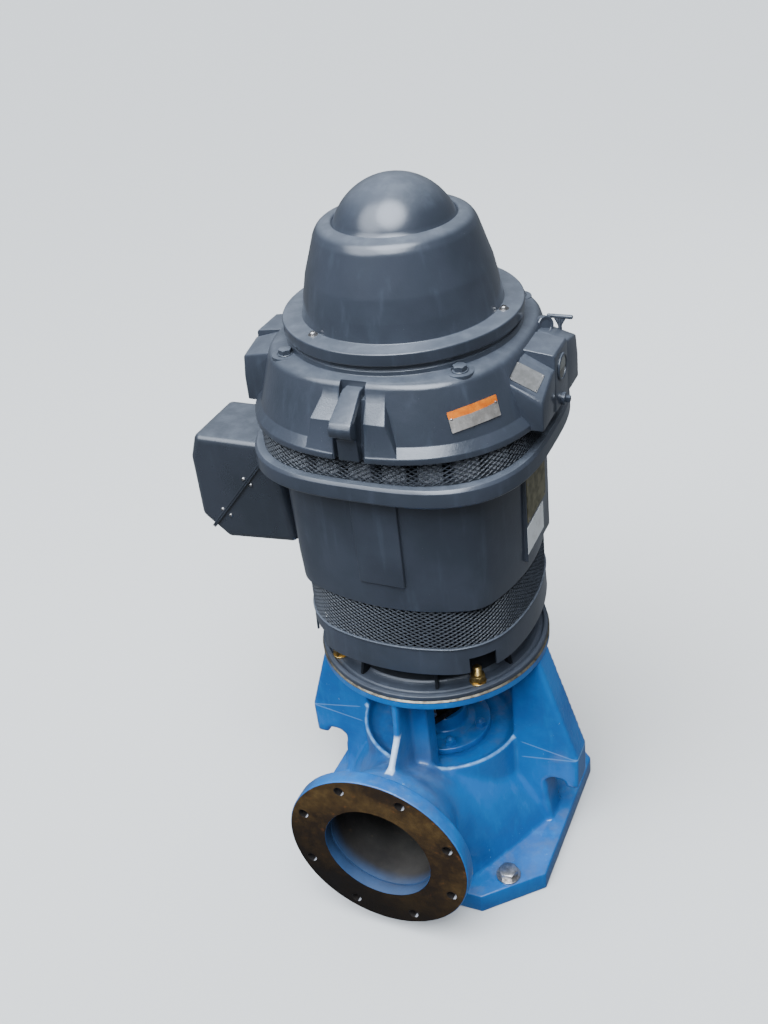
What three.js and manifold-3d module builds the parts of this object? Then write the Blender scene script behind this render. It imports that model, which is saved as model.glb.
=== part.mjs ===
// Vertical turbine pump: cast discharge head, vertical motor and canopy.
// Millimetres, +Z up. The pump axis is Z, the floor is z = 0 and the discharge faces -Y.
import * as THREE from 'three';
import { mergeVertices } from 'three/addons/utils/BufferGeometryUtils.js';
import { ConvexGeometry } from 'three/addons/geometries/ConvexGeometry.js';
import Module from 'manifold-3d';

const wasm = await Module();
wasm.setup();

// Discharge flange, an 8 inch class 125 pattern
const bore = 203.2;
const outlet = {
  height: 203, faceY: -342, radius: 171.5, thickness: 28.6, holes: 8, circle: 298.5, hole: 22,
};

// Neck behind the flange, as circles [y, radius, height] that shrink as the passage turns down
const neck = [[-255, 116, 203], [-209, 100, 186], [-160, 80, 171]];

// Passage inside the neck: sections [y, half width, half height, centre height, squareness]
const throat = [[-265, 101.6, 101.6, 203, 2], [-209, 86, 83, 181, 2], [-160, 84, 53, 154, 3]];

// Saddle that spreads the neck over the base plate: stations [y, half width, crown, bow]
const saddle = [
  [-258, 118, 285, 5], [-209, 126, 284, 3.6], [-155, 155, 253.5, 3], [-111, 178, 252, 3],
  [-64, 198, 248, 3], [-40, 210, 230, 3], [-20, 221, 210, 3],
];

// Base plate and the four bolts that hold it down
const base = { half: 251, flatX: 154, flatY: 160, top: 42, boltAt: 186, hole: 22 };

// Barrel of the head, with the dished ledge round the stuffing box
const barrel = { radius: 158, rim: 245, seat: 214, seatRadius: 97, dishRadius: 150 };

// Arms, pillars and the round flange that carry the motor
const yoke = {
  armHalf: 30, pillarHalf: 36, pillarIn: 122, underside: 440, top: 458, radius: 212.5, eye: 140,
};

// Motor heights above the floor
const level = {
  baseTop: 465, skirt: 517, lowerScreen: 572, frame: 651, band: 884, upperScreen: 915,
  lip: 957, shoulder: 1062, capSeat: 1090,
};
const motorBase = { neckRadius: 148, fins: 8, finThickness: 6 };
const motorBolt = { at: 132.5, radius: 8, flats: 24, washer: 15 };

// Plans with bowed sides and round corners: radii of both per unit of half width
const framePlan = { side: 1.805, corner: 0.327 };
const skirtPlan = { side: 1.805, corner: 0.65 };
const frameHalf = 207;
const padFace = 207.3;
const bandHalf = 244.5;
const screenHalf = 230;
const bracketBolt = { x: 145, y: 139, seat: 1071, flats: 19 };
const cap = { brim: 192.5, domeRadius: 102.3, domeCentre: 1212.8, domeFoot: 94 };
const filler = { x: 213, y: 68, z: 1056, radius: 16, depth: 12, stub: 9, reach: 34, turn: -0.26, tilt: 0.2 };
const handle = { x: 229.5, y: 88, stem: 5, foot: 1014, barHeight: 1064.5, barHalf: 21 };
const shaftRadius = 19;
const stuffing = { neckTop: 262, glandBottom: 268, glandTop: 282, studAt: 56, studRadius: 5 };

const roundSteps = 56;
const gap = 0.3;

// Finishes
const finish = {
  blue: { color: 0x2873b4, roughness: 0.45, metalness: 0.1 },
  grey: { color: 0x4b545f, roughness: 0.42, metalness: 0.2 },
  mesh: { color: 0x3a424c, roughness: 0.55, metalness: 0.3 },
  iron: { color: 0x4a3a28, roughness: 0.8, metalness: 0.4 },
  brass: { color: 0x96782f, roughness: 0.35, metalness: 0.9 },
  zinc: { color: 0xbdb8b3, roughness: 0.35, metalness: 0.9 },
  steel: { color: 0x8b8c8d, roughness: 0.4, metalness: 0.9 },
  plate: { color: 0x968c82, roughness: 0.4, metalness: 0.7 },
  paper: { color: 0xe4e4e0, roughness: 0.7, metalness: 0 },
  glass: { color: 0xc9c7a4, roughness: 0.15, metalness: 0 },
};

// A solid from a closed geometry: doubled corners merged, collapsed faces left out
function solid(geometry) {
  const bare = geometry.clone();
  bare.deleteAttribute('normal');
  bare.deleteAttribute('uv');
  const merged = mergeVertices(bare, 1e-4);
  const corners = merged.index.array;
  const kept = [];
  for (let i = 0; i < corners.length; i += 3) {
    const [a, b, c] = [corners[i], corners[i + 1], corners[i + 2]];
    if (a !== b && b !== c && c !== a) kept.push(a, b, c);
  }
  const vertProperties = new Float32Array(merged.attributes.position.array);
  const triVerts = new Uint32Array(kept);
  return new wasm.Manifold(new wasm.Mesh({ numProp: 3, vertProperties, triVerts }));
}

function geometryOf(body) {
  const faces = body.getMesh();
  const geometry = new THREE.BufferGeometry();
  geometry.setAttribute('position', new THREE.BufferAttribute(new Float32Array(faces.vertProperties), 3));
  geometry.setIndex(new THREE.BufferAttribute(new Uint32Array(faces.triVerts), 1));
  geometry.computeVertexNormals();
  return geometry;
}

function joined(...bodies) {
  return bodies.reduce((whole, body) => whole.add(body));
}

function less(body, ...cuts) {
  return cuts.reduce((rest, cut) => rest.subtract(cut), body);
}

function piece(name, body, look, place = [0, 0, 0]) {
  const mesh = new THREE.Mesh(geometryOf(body), new THREE.MeshStandardMaterial(finish[look]));
  mesh.name = name;
  mesh.position.set(...place);
  return mesh;
}

// Distance from the axis to the edge of a plan of half width 1.
// A number is the power of a rounded square, 2 being a circle; an object is a bowed plan.
function planReach(angle, plan) {
  const across = Math.abs(Math.cos(angle));
  const along = Math.abs(Math.sin(angle));
  if (typeof plan === 'number') return (across ** plan + along ** plan) ** (-1 / plan);
  const { side, corner } = plan;
  const [far, near] = [Math.max(across, along), Math.min(across, along)];
  const shift = side - 1;
  const centre = (Math.sqrt(2 * (side - corner) ** 2 - shift ** 2) - shift) / 2;
  const turn = Math.atan2(centre, centre + shift);
  const tangent = Math.atan2(side * Math.sin(turn), side * Math.cos(turn) - shift);
  if (Math.atan2(near, far) < tangent) return Math.sqrt(side ** 2 - (shift * near) ** 2) - shift * far;
  return centre * (far + near) + Math.sqrt(corner ** 2 - (centre * (far - near)) ** 2);
}

// Turned shape round Z. Each point is [radius, height, plan], and a plan left out is a circle.
// A profile runs anticlockwise, and starts and ends on the axis or closes on itself.
function turned(profile, steps = roundSteps) {
  const points = profile.map(([radius, height]) => new THREE.Vector2(radius, height));
  const geometry = new THREE.LatheGeometry(points, steps).rotateX(Math.PI / 2);
  const position = geometry.attributes.position;
  for (let i = 0; i < position.count; i += 1) {
    const plan = profile[i % profile.length][2] ?? 2;
    const [x, y] = [position.getX(i), position.getY(i)];
    if (plan !== 2) {
      const pull = planReach(Math.atan2(y, x), plan);
      position.setXY(i, x * pull, y * pull);
    }
  }
  return solid(geometry);
}

function closedRing(profile, steps) {
  return turned([...profile, profile[0]], steps);
}

function block(fromCorner, toCorner) {
  const size = toCorner.map((value, i) => value - fromCorner[i]);
  const middle = toCorner.map((value, i) => (value + fromCorner[i]) / 2);
  return solid(new THREE.BoxGeometry(...size).translate(...middle));
}

function rod(radius, bottom, top, x = 0, y = 0, steps = 24) {
  const geometry = new THREE.CylinderGeometry(radius, radius, top - bottom, steps).rotateX(Math.PI / 2);
  return solid(geometry.translate(x, y, (top + bottom) / 2));
}

function hexagon(flats, bottom, top, x = 0, y = 0) {
  return rod(flats / Math.sqrt(3), bottom, top, x, y, 6);
}

// Bar with an outline drawn in X and Z, running from fromY to toY
function barAlongY(outline, fromY, toY) {
  const shape = new THREE.Shape(outline.map(([x, z]) => new THREE.Vector2(x, z)));
  const geometry = new THREE.ExtrudeGeometry(shape, { depth: toY - fromY, bevelEnabled: false });
  return solid(geometry.rotateX(Math.PI / 2).translate(0, toY, 0));
}

// Bar with an outline drawn in Y and Z, running from fromX to toX
function barAlongX(outline, fromX, toX) {
  const shape = new THREE.Shape(outline.map(([y, z]) => new THREE.Vector2(y, z)));
  const geometry = new THREE.ExtrudeGeometry(shape, { depth: toX - fromX, bevelEnabled: false });
  return solid(geometry.rotateX(Math.PI / 2).rotateZ(Math.PI / 2).translate(fromX, 0, 0));
}

function wrap(points) {
  return solid(new ConvexGeometry(points.map((point) => new THREE.Vector3(...point))));
}

// Points of a circle that faces -Y
function faceCircle(radius, y, z, steps = 40) {
  return Array.from({ length: steps }, (_, i) => {
    const angle = (2 * Math.PI * i) / steps;
    return [radius * Math.cos(angle), y, z + radius * Math.sin(angle)];
  });
}

// Points of an upright oval section of the passage
function throatSection([y, halfWidth, halfHeight, z, n], steps = 48) {
  return faceCircle(1, y, 0, steps).map(([across, , up]) => {
    const pull = (Math.abs(across) ** n + Math.abs(up) ** n) ** (-1 / n);
    return [halfWidth * across * pull, y, z + halfHeight * up * pull];
  });
}

// Points of a level circle round the pump axis
function levelCircle(radius, z, steps = 40) {
  return Array.from({ length: steps }, (_, i) => {
    const angle = (2 * Math.PI * i) / steps;
    return [radius * Math.cos(angle), radius * Math.sin(angle), z];
  });
}

function discAlongY(radius, fromY, toY, x, z, steps = 24) {
  const geometry = new THREE.CylinderGeometry(radius, radius, toY - fromY, steps);
  return solid(geometry.translate(x, (fromY + toY) / 2, z));
}

const quarterTurns = [
  ['front_right', 1, -1], ['front_left', -1, -1], ['rear_right', 1, 1], ['rear_left', -1, 1],
];

// Base plate: a square with its corners cut
function basePlate() {
  const { half, flatX, flatY, top } = base;
  const corners = [[flatX, half], [half, flatY], [half, -flatY], [flatX, -half]];
  const outline = [...corners, ...corners.map(([x, y]) => [-x, -y])];
  const ring = (inset, z) => outline.map(([x, y]) => [x * (1 - inset / half), y * (1 - inset / half), z]);
  return wrap([...ring(0, 0), ...ring(0, top - 4), ...ring(4, top)]);
}

// Convex slices from each section to the next
function slices(sections) {
  return joined(...sections.slice(1).map((section, i) => wrap([...sections[i], ...section])));
}

// Neck from the discharge flange back into the barrel, with a fillet behind the flange
function outletNeck() {
  const { height, faceY } = outlet;
  const [[, radius]] = neck;
  const body = slices(neck.map(([y, circleRadius, z]) => faceCircle(circleRadius, y, z)));
  const fillet = closedRing([[60, 0], [radius + 16, 0], [radius + 3, 18], [radius, 60], [60, 60]], 40);
  const behind = faceY + outlet.thickness - 1;
  const hub = solid(geometryOf(fillet).rotateX(-Math.PI / 2).translate(0, behind, height));
  return joined(body, hub);
}

// Section of the saddle across X: an arch that falls from the crown to the plate
function saddleSection([y, halfWidth, crown, bow], steps = 12) {
  const rise = crown - base.top;
  const arch = Array.from({ length: steps + 1 }, (_, i) => {
    const across = Math.cos((Math.PI * i) / steps);
    return [halfWidth * across, y, base.top + rise * (1 - Math.abs(across) ** bow)];
  });
  return [...arch, [halfWidth, y, base.top - 12], [-halfWidth, y, base.top - 12]];
}

// One side arm: leg, lifting hook and web, drawn for +X
function sideArm(side) {
  const { armHalf, underside } = yoke;
  const hook = [
    [140, 30], [227, 30], [213, 146], [228, 158], [249, 158], [254, 141], [278, 141], [279, 215],
    [160, 200], [140, 200],
  ];
  const outline = hook.map(([x, z]) => [side * x, z]);
  const lower = barAlongY(side > 0 ? outline : outline.reverse(), -armHalf, armHalf);
  const web = [];
  for (const face of [-1, 1]) {
    const outer = [[279, 216], [253, 276], [238, 320], [226, 365], [209, underside + 2]];
    web.push(...outer.map(([x, z]) => [side * x, face * armHalf, z]));
    const inner = [[24, underside + 2], [24, 240], [armHalf, 196]];
    web.push(...inner.map(([y, z]) => [side * 152, face * y, z]));
  }
  return joined(lower, wrap(web));
}

// Pillar on the rim in front of (-1) or behind (1) the stuffing box
function pillar(face) {
  const { pillarHalf, pillarIn, underside } = yoke;
  const foot = barrel.seat + 11;
  const ring = closedRing([
    [pillarIn, foot], [barrel.radius, foot], [barrel.radius, underside + 2], [pillarIn, underside + 2],
  ]);
  const [nearY, farY] = face < 0 ? [-200, -80] : [80, 200];
  return ring.intersect(block([-pillarHalf, nearY, foot - 5], [pillarHalf, farY, underside + 20]));
}

function yokeFlange() {
  const { eye, radius, underside, top } = yoke;
  return closedRing([
    [eye, underside], [radius - 3, underside], [radius, underside + 3], [radius, top], [eye, top],
  ]);
}

function dischargeHead() {
  const { height, faceY, radius, thickness, holes, circle, hole } = outlet;
  const { underside, top } = yoke;
  const mound = turned([
    [0, 20], [178, 20], [178, 44], [166, 56], [barrel.radius, 84], [barrel.radius, barrel.rim - 4],
    [barrel.radius - 4, barrel.rim], [0, barrel.rim],
  ]);
  const dish = turned([
    [0, barrel.seat], [barrel.seatRadius, barrel.seat], [barrel.seatRadius + 2, barrel.seat + 4],
    [130, 219], [barrel.dishRadius - 3, 232], [barrel.dishRadius, barrel.rim],
    [barrel.dishRadius, underside], [0, underside],
  ]);
  const saddleBody = slices(saddle.map((at) => saddleSection(at)));
  const lower = joined(basePlate(), mound, outletNeck(), saddleBody).subtract(dish);
  const ribFront = barAlongX([
    [-150, underside + 2], [-150, 236], [-240, 236], [-290, 290], [-290, 318], [-252, 322], [-214, 364],
    [-206, underside + 2],
  ], -6.5, 6.5);
  const ribRear = barAlongX([
    [150, underside + 2], [204, underside + 2], [200, 364], [170, 300], [166, 60], [150, 60],
  ].reverse(), -6.5, 6.5);
  const rim = discAlongY(radius, faceY, faceY + thickness, 0, height, roundSteps);
  const cast = joined(
    lower, sideArm(1), sideArm(-1), pillar(-1), pillar(1), ribFront, ribRear, yokeFlange(), rim,
  );
  const passage = joined(
    discAlongY(bore / 2, faceY - 1, -264, 0, height, 48),
    slices(throat.map((at) => throatSection(at))),
    wrap([
      ...throatSection(throat.at(-1)), ...levelCircle(96, 195, 48), ...levelCircle(bore / 2, 101, 48),
    ]),
    rod(bore / 2, -1, 150, 0, 0, 48),
  );
  const boxHole = rod(60, 180, 230, 0, 0, 40);
  const cuts = [passage, boxHole];
  for (let i = 0; i < holes; i += 1) {
    const angle = ((i + 0.5) * 2 * Math.PI) / holes;
    const x = (circle / 2) * Math.sin(angle);
    const z = height + (circle / 2) * Math.cos(angle);
    cuts.push(discAlongY(hole / 2, faceY - 1, faceY + thickness + 1, x, z, 16));
  }
  for (const [, sideX, sideY] of quarterTurns) {
    cuts.push(rod(base.hole / 2, -1, base.top + 1, sideX * base.boltAt, sideY * base.boltAt, 16));
    const [boltX, boltY] = [sideX * motorBolt.at, sideY * motorBolt.at];
    cuts.push(rod(motorBolt.radius + 0.5, underside - 1, top + 1, boltX, boltY, 16));
  }
  return less(cast, ...cuts);
}

// Stuffing box: flange with its six nuts, spigot below and neck above
function stuffingBox() {
  const { seat } = barrel;
  const { neckTop } = stuffing;
  const turnedPart = closedRing([
    [shaftRadius + 1, 192], [59.5, 192], [59.5, seat], [90, seat], [92, seat + 2], [92, seat + 12],
    [89, seat + 15], [49, seat + 15], [46, seat + 20], [44, neckTop], [shaftRadius + 1, neckTop],
  ], 40);
  const nuts = Array.from({ length: 6 }, (_, i) => {
    const angle = (i * Math.PI) / 3;
    const [x, y] = [76 * Math.cos(angle), 76 * Math.sin(angle)];
    return joined(hexagon(19, seat + 13, seat + 25, x, y), rod(6, seat + 13, seat + 30, x, y, 8));
  });
  return joined(turnedPart, ...nuts);
}

// Packing gland: an oval flange pressed down by two studs
function packingGland() {
  const { studAt, studRadius, neckTop, glandBottom, glandTop } = stuffing;
  const outline = [glandBottom, glandTop].flatMap((z) => [
    ...levelCircle(40, z, 32),
    ...[-studAt, studAt].flatMap((at) => levelCircle(13, z, 16).map(([x, y]) => [x, y + at, z])),
  ]);
  const body = joined(wrap(outline), rod(30, neckTop, glandTop, 0, 0, 32));
  const holes = [-studAt, studAt].map((at) => rod(studRadius + gap, neckTop, glandTop + 1, 0, at, 16));
  return less(body, rod(shaftRadius + 1, neckTop - 1, glandTop + 1, 0, 0, 32), ...holes);
}

function glandStud() {
  const { studRadius, glandTop } = stuffing;
  return joined(
    rod(studRadius, barrel.seat + 15, glandTop + 18, 0, 0, 12), hexagon(17, glandTop, glandTop + 9),
  );
}

function anchorBolt() {
  const { top } = base;
  return joined(
    rod(10, 0, top + 2, 0, 0, 16), rod(23, top, top + 4, 0, 0, 24), hexagon(32, top + 4, top + 17),
  );
}

// Foot casting of the motor: flange, raised neck and the radial fins under the skirt
function motorFoot() {
  const { radius, top } = yoke;
  const { neckRadius, fins, finThickness } = motorBase;
  const { baseTop, frame } = level;
  const turnedPart = closedRing([
    [shaftRadius + 0.6, top], [radius, top], [radius, baseTop + 2], [radius - 2, baseTop + 4],
    [radius - 11, baseTop + 4], [radius - 13, baseTop], [174, baseTop], [162, baseTop + 12],
    [neckRadius, baseTop + 44], [neckRadius, frame], [shaftRadius + 0.6, frame],
  ]);
  const finBodies = Array.from({ length: fins }, (_, i) => {
    const foot = baseTop - 2;
    const crest = level.skirt - 2;
    const outline = [[neckRadius - 8, foot], [190, foot], [178, crest], [neckRadius - 8, crest]];
    const fin = barAlongY(outline, -finThickness / 2, finThickness / 2);
    return solid(geometryOf(fin).rotateZ(((i + 0.5) * 2 * Math.PI) / fins));
  });
  const holes = quarterTurns.map(([, sideX, sideY]) =>
    rod(motorBolt.radius + 0.5, top - 1, baseTop + 20, sideX * motorBolt.at, sideY * motorBolt.at, 16));
  const spots = quarterTurns.map(([, sideX, sideY]) =>
    rod(motorBolt.washer + 1.5, baseTop, baseTop + 20, sideX * motorBolt.at, sideY * motorBolt.at, 24));
  return less(joined(turnedPart, ...finBodies), ...holes, ...spots);
}

function footBolt() {
  const { radius, flats, washer } = motorBolt;
  const { underside } = yoke;
  const { baseTop } = level;
  return joined(
    hexagon(flats, underside - 12, underside), rod(radius, underside - 6, 493, 0, 0, 16),
    rod(washer, baseTop, baseTop + 3, 0, 0, 24), hexagon(flats, baseTop + 3, baseTop + 17),
  );
}

function skirt() {
  const { lowerScreen } = level;
  const ring = closedRing([
    [199, level.skirt, skirtPlan], [203, level.skirt, skirtPlan], [201, lowerScreen, skirtPlan],
    [197, lowerScreen, skirtPlan],
  ]);
  const notches = quarterTurns.map(([, sideX, sideY]) => {
    const cut = new THREE.BoxGeometry(120, 50, 60).translate(220, 0, level.skirt);
    return solid(cut.rotateZ(Math.atan2(sideY, sideX)));
  });
  return less(ring, ...notches);
}

function screenRing(half, plan, bottom, top) {
  const corners = [[half - 2.5, bottom], [half, bottom], [half, top], [half - 2.5, top]];
  return closedRing(corners.map(([radius, z]) => [radius, z, plan]));
}

// Frame of the motor, grown by spare
function frameBody(spare = 0) {
  const { frame, upperScreen, band } = level;
  const outline = [
    [202, frame], [203.5, frame + 3], [204.5, frame + 50], [205.5, frame + 120], [frameHalf, band],
    [frameHalf, upperScreen],
  ];
  const sides = outline.map(([half, z]) => [half + spare, z, framePlan]);
  return turned([[0, frame], ...sides, [0, upperScreen]]);
}

function motorShell() {
  const { band } = level;
  const frontPad = block([-31, -frameHalf - 2, 704], [49, -150, band]);
  const platePad = block([150, -52, 678], [padFace, 70, band]);
  return joined(frameBody(), frontPad, platePad);
}

// Ring round the upper end of the frame, with a bevelled top edge
function bandRing() {
  const { band, upperScreen } = level;
  const inner = frameHalf + gap;
  return closedRing([
    [inner, band, framePlan], [bandHalf - 2, band, 3], [bandHalf, band + 3, 3],
    [bandHalf - 1, upperScreen - 9, 3], [bandHalf - 9, upperScreen, 2.95],
    [inner, upperScreen, framePlan],
  ]);
}

function intakeRing() {
  return turned([
    [0, level.upperScreen], [204, level.upperScreen, 3], [204, level.lip, 3], [0, level.lip],
  ]);
}

// Outside of the upper bearing housing, grown by spare
function housing(spare = 0) {
  const { lip, shoulder, capSeat } = level;
  return turned([
    [0, lip], [241 + spare, lip, 2.4], [247 + spare, lip + 4, 2.35], [248 + spare, lip + 10, 2.35],
    [243 + spare, lip + 18, 2.38], [236 + spare, lip + 26, 2.42], [213 + spare, shoulder - 14, 2.6],
    [209 + spare, shoulder - 4, 2.65], [202 + spare, shoulder + 4, 2.7], [194 + spare, shoulder + 8, 2.6],
    [191 + spare, shoulder + 17, 2.15], [185, shoulder + 19], [184, capSeat], [0, capSeat],
  ]);
}

// Small lifting lug on the front (and rear): a sloping finger between two wedges
function frontLug() {
  const { lip } = level;
  const finger = barAlongX([
    [-180, 1064], [-180, lip], [-247, lip], [-248, 998], [-256, 1003], [-265, 1010], [-267, 1016],
    [-267, 1023], [-262, 1030], [-214, 1061],
  ], -16, 16);
  const wedges = [-1, 1].map((side) => wrap([
    [side * 14, -190, 1052], [side * 50, -190, 1052], [side * 14, -206, 1052], [side * 50, -206, 1050],
    [side * 14, -240, 1018], [side * 62, -236, 1018], [side * 14, -246, lip + 2],
    [side * 76, -238, lip + 8], [side * 14, -190, lip + 2], [side * 76, -190, lip + 2],
  ]));
  return joined(finger, ...wedges);
}

// Large side block, drawn for +X: a flat crown between two sloping cheeks, the rear one flatter
const cheek = {
  top: [200, 51, 1060], outer: [255, 45, 1031], low: [255, 92, 1007.6], inner: [200, 98, 1036.6],
};
const rearCheek = {
  top: [200, 45, 1061], outer: [255, 40, 1047], low: [255, 90, 1035], inner: [200, 97, 1048],
};

const cheekPlate = [46, 34, 1];

function sideBlock() {
  const { lip } = level;
  const crown = wrap([-33, 33].flatMap((y) => [
    [170, y, 1062], [196, y, 1062], [255, y, 1056], [257, y, 1050], [257, y, lip], [170, y, lip],
  ]));
  const flanks = [[-1, cheek], [1, rearCheek]].map(([face, corners]) => wrap([
    ...Object.values(corners).map(([x, y, z]) => [x, face * y, z]), [257, face * 30, 1031],
    [200, face * 30, 1060], [256, face * 96, 1000], [256, face * 97, lip + 1], [170, face * 98, lip + 1],
    [170, face * 98, 1035], [170, face * 30, lip + 1], [256, face * 30, lip + 1],
  ]));
  return joined(crown, ...flanks);
}

// Puts a mesh on the near cheek of the right block, its base on the cheek
function onNearCheek(mesh) {
  const [top, outer, low, inner] = Object.values(cheek).map(([x, y, z]) => new THREE.Vector3(x, -y, z));
  const along = outer.clone().sub(top).normalize();
  const normal = inner.clone().sub(top).cross(along).normalize();
  const across = normal.clone().cross(along);
  mesh.quaternion.setFromRotationMatrix(new THREE.Matrix4().makeBasis(along, across, normal));
  mesh.position.copy(top).add(outer).add(low).add(inner).divideScalar(4);
  mesh.position.addScaledVector(along, -3.5).addScaledVector(normal, gap);
  return mesh;
}

// Room in the wall beside the near cheek for the plate on it
function cheekPocket() {
  const [width, height] = cheekPlate;
  const room = onNearCheek(new THREE.Mesh(new THREE.BoxGeometry(width + 1, height + 1, 24)));
  room.updateMatrix();
  return solid(room.geometry.translate(0, 0, 12).applyMatrix4(room.matrix));
}

function turnAboutAxis(body, angle) {
  return solid(geometryOf(body).rotateZ(angle));
}

function bearingHousing() {
  const { x, y, seat, flats } = bracketBolt;
  const lug = frontLug();
  const side = sideBlock();
  const whole = joined(housing(), lug, turnAboutAxis(lug, Math.PI), side, turnAboutAxis(side, Math.PI));
  const spots = quarterTurns.map(([, sideX, sideY]) =>
    rod(flats * 0.7, seat, seat + 30, sideX * x, sideY * y, 24));
  const sockets = [
    oilFiller(gap), rod(handle.stem + gap, handle.foot, handle.barHeight, handle.x, handle.y, 16),
  ];
  return less(whole, ...spots, ...sockets, cheekPocket());
}

function housingBolt() {
  const { seat, flats } = bracketBolt;
  return joined(rod(flats * 0.64, seat, seat + 2.5, 0, 0, 24), hexagon(flats, seat + 2.5, seat + 10.5));
}

function canopy() {
  const { brim, domeRadius, domeCentre, domeFoot } = cap;
  const { capSeat } = level;
  const brimTop = capSeat + 21;
  const foot = Math.asin(domeFoot / domeRadius);
  const rings = 6;
  const dome = Array.from({ length: rings }, (_, i) => {
    const angle = foot * (1 - i / rings);
    return [domeRadius * Math.sin(angle), domeCentre + domeRadius * Math.cos(angle)];
  });
  return turned([
    [0, capSeat], [brim - 2, capSeat], [brim, capSeat + 3], [brim, brimTop - 3], [brim - 3, brimTop],
    [163, brimTop], [159, brimTop + 3], [155, 1140], [147.5, 1175], [137.5, 1205], [130.5, 1226],
    [126.5, 1238], [121, 1247], [112, 1252], [100, 1254], ...dome, [0, domeCentre + domeRadius],
  ]);
}

// Sight glass and drain plug on the end of the right block
function sightGlass() {
  return joined(discAlongX(22, 0, 2.5), discAlongX(17, 0, 4));
}

function discAlongX(radius, fromX, toX, steps = 32) {
  const geometry = new THREE.CylinderGeometry(radius, radius, toX - fromX, steps).rotateZ(Math.PI / 2);
  return solid(geometry.translate((fromX + toX) / 2, 0, 0));
}

function drainPlug() {
  const head = solid(new THREE.BoxGeometry(9, 9, 9).translate(9, 0, 0));
  return joined(discAlongX(10.5, 0, 6, 24), head);
}

// Oil filler: a cap on a short stub that points out of the housing, grown by spare
function oilFiller(spare = 0) {
  const { x, y, z, radius, depth, stub, reach, turn, tilt } = filler;
  const out = 20 * Math.sign(spare);
  const cap = discAlongX(radius + spare, -depth - spare, out, 24);
  const body = joined(cap, discAlongX(stub + spare, -reach - spare, -depth + 2, 24));
  return solid(geometryOf(body).rotateY(-tilt).rotateZ(turn).translate(x, y, z));
}

// T-handle on the rear cheek of the right block: a bar on a stem that widens towards it
function fillerHandle() {
  const { stem, foot, barHeight, barHalf } = handle;
  const bar = solid(geometryOf(discAlongX(3.5, -barHalf, barHalf, 12)).translate(0, 0, barHeight));
  const web = wrap([-2.5, 2.5].flatMap((y) => [
    [-11, y, barHeight], [11, y, barHeight], [-3, y, barHeight - 15], [3, y, barHeight - 15],
  ]));
  return joined(bar, web, rod(3, foot, barHeight, 0, 0, 12), rod(stem, foot, foot + 20, 0, 0, 16));
}

// Conduit box: a base half on the frame and a cover half, split on a slant.
// The corners are the centres of the roundings in X and Z.
const box = {
  half: 72, rounding: 15, split: [[-251, 841], [-398, 663]], lip: 5, lipThickness: 3,
  corners: [
    [-394, 841], [-406, 806], [-407, 691], [-366, 655], [-240, 666], [-250, 760], [-270, 841],
  ],
  neckFrom: [-262, -50, 672], neckTo: [-195, 50, 820],
};

function boxBody() {
  const { half, rounding, corners } = box;
  const ball = new THREE.IcosahedronGeometry(rounding, 2);
  const spot = mergeVertices(ball.deleteAttribute('normal').deleteAttribute('uv')).attributes.position;
  const round = Array.from({ length: spot.count }, (_, i) => [spot.getX(i), spot.getY(i), spot.getZ(i)]);
  const centres = corners.flatMap(([x, z]) => [[x, rounding - half, z], [x, half - rounding, z]]);
  return wrap(centres.flatMap((centre) => round.map((point) => point.map((value, i) => value + centre[i]))));
}

// Thin strip along the split, on the cover's side (1) or the base's side (-1)
function splitLip(face) {
  const [[x1, z1], [x2, z2]] = box.split;
  const length = Math.hypot(x2 - x1, z2 - z1);
  const strip = new THREE.BoxGeometry(length + 2 * box.lip, 2 * (box.half + box.lip), box.lipThickness);
  strip.translate(0, 0, face * (box.lipThickness / 2 + gap / 2));
  strip.rotateY(-Math.atan2(z1 - z2, x1 - x2)).translate((x1 + x2) / 2, 0, (z1 + z2) / 2);
  return solid(strip);
}

function splitSide(face) {
  const [[x1, z1], [x2, z2]] = box.split;
  const cut = new THREE.BoxGeometry(700, 400, 400);
  cut.translate(0, 0, face * (200 + gap / 2));
  cut.rotateY(-Math.atan2(z1 - z2, x1 - x2)).translate((x1 + x2) / 2, 0, (z1 + z2) / 2);
  return solid(cut);
}

function conduitCover() {
  return joined(boxBody().intersect(splitSide(1)), splitLip(1));
}

function conduitBase() {
  const whole = joined(boxBody().intersect(splitSide(-1)), splitLip(-1), block(box.neckFrom, box.neckTo));
  return whole.subtract(frameBody(gap));
}

// Curved blank plate on the drafted wall, between the front lug and the right block
function wallPlate() {
  const skin = housing(1.3).subtract(housing(gap));
  const window = new THREE.BoxGeometry(140, 82, 32).rotateX(0.067).rotateY(-0.42);
  return skin.intersect(solid(window.translate(240, 0, 1017).rotateZ(-0.757)));
}

function flatPlate(width, height, thickness) {
  return solid(new THREE.BoxGeometry(width, height, thickness).translate(0, 0, thickness / 2));
}

const pump = new THREE.Group();
const head = new THREE.Group();
const motor = new THREE.Group();
pump.add(head, motor);

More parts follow.
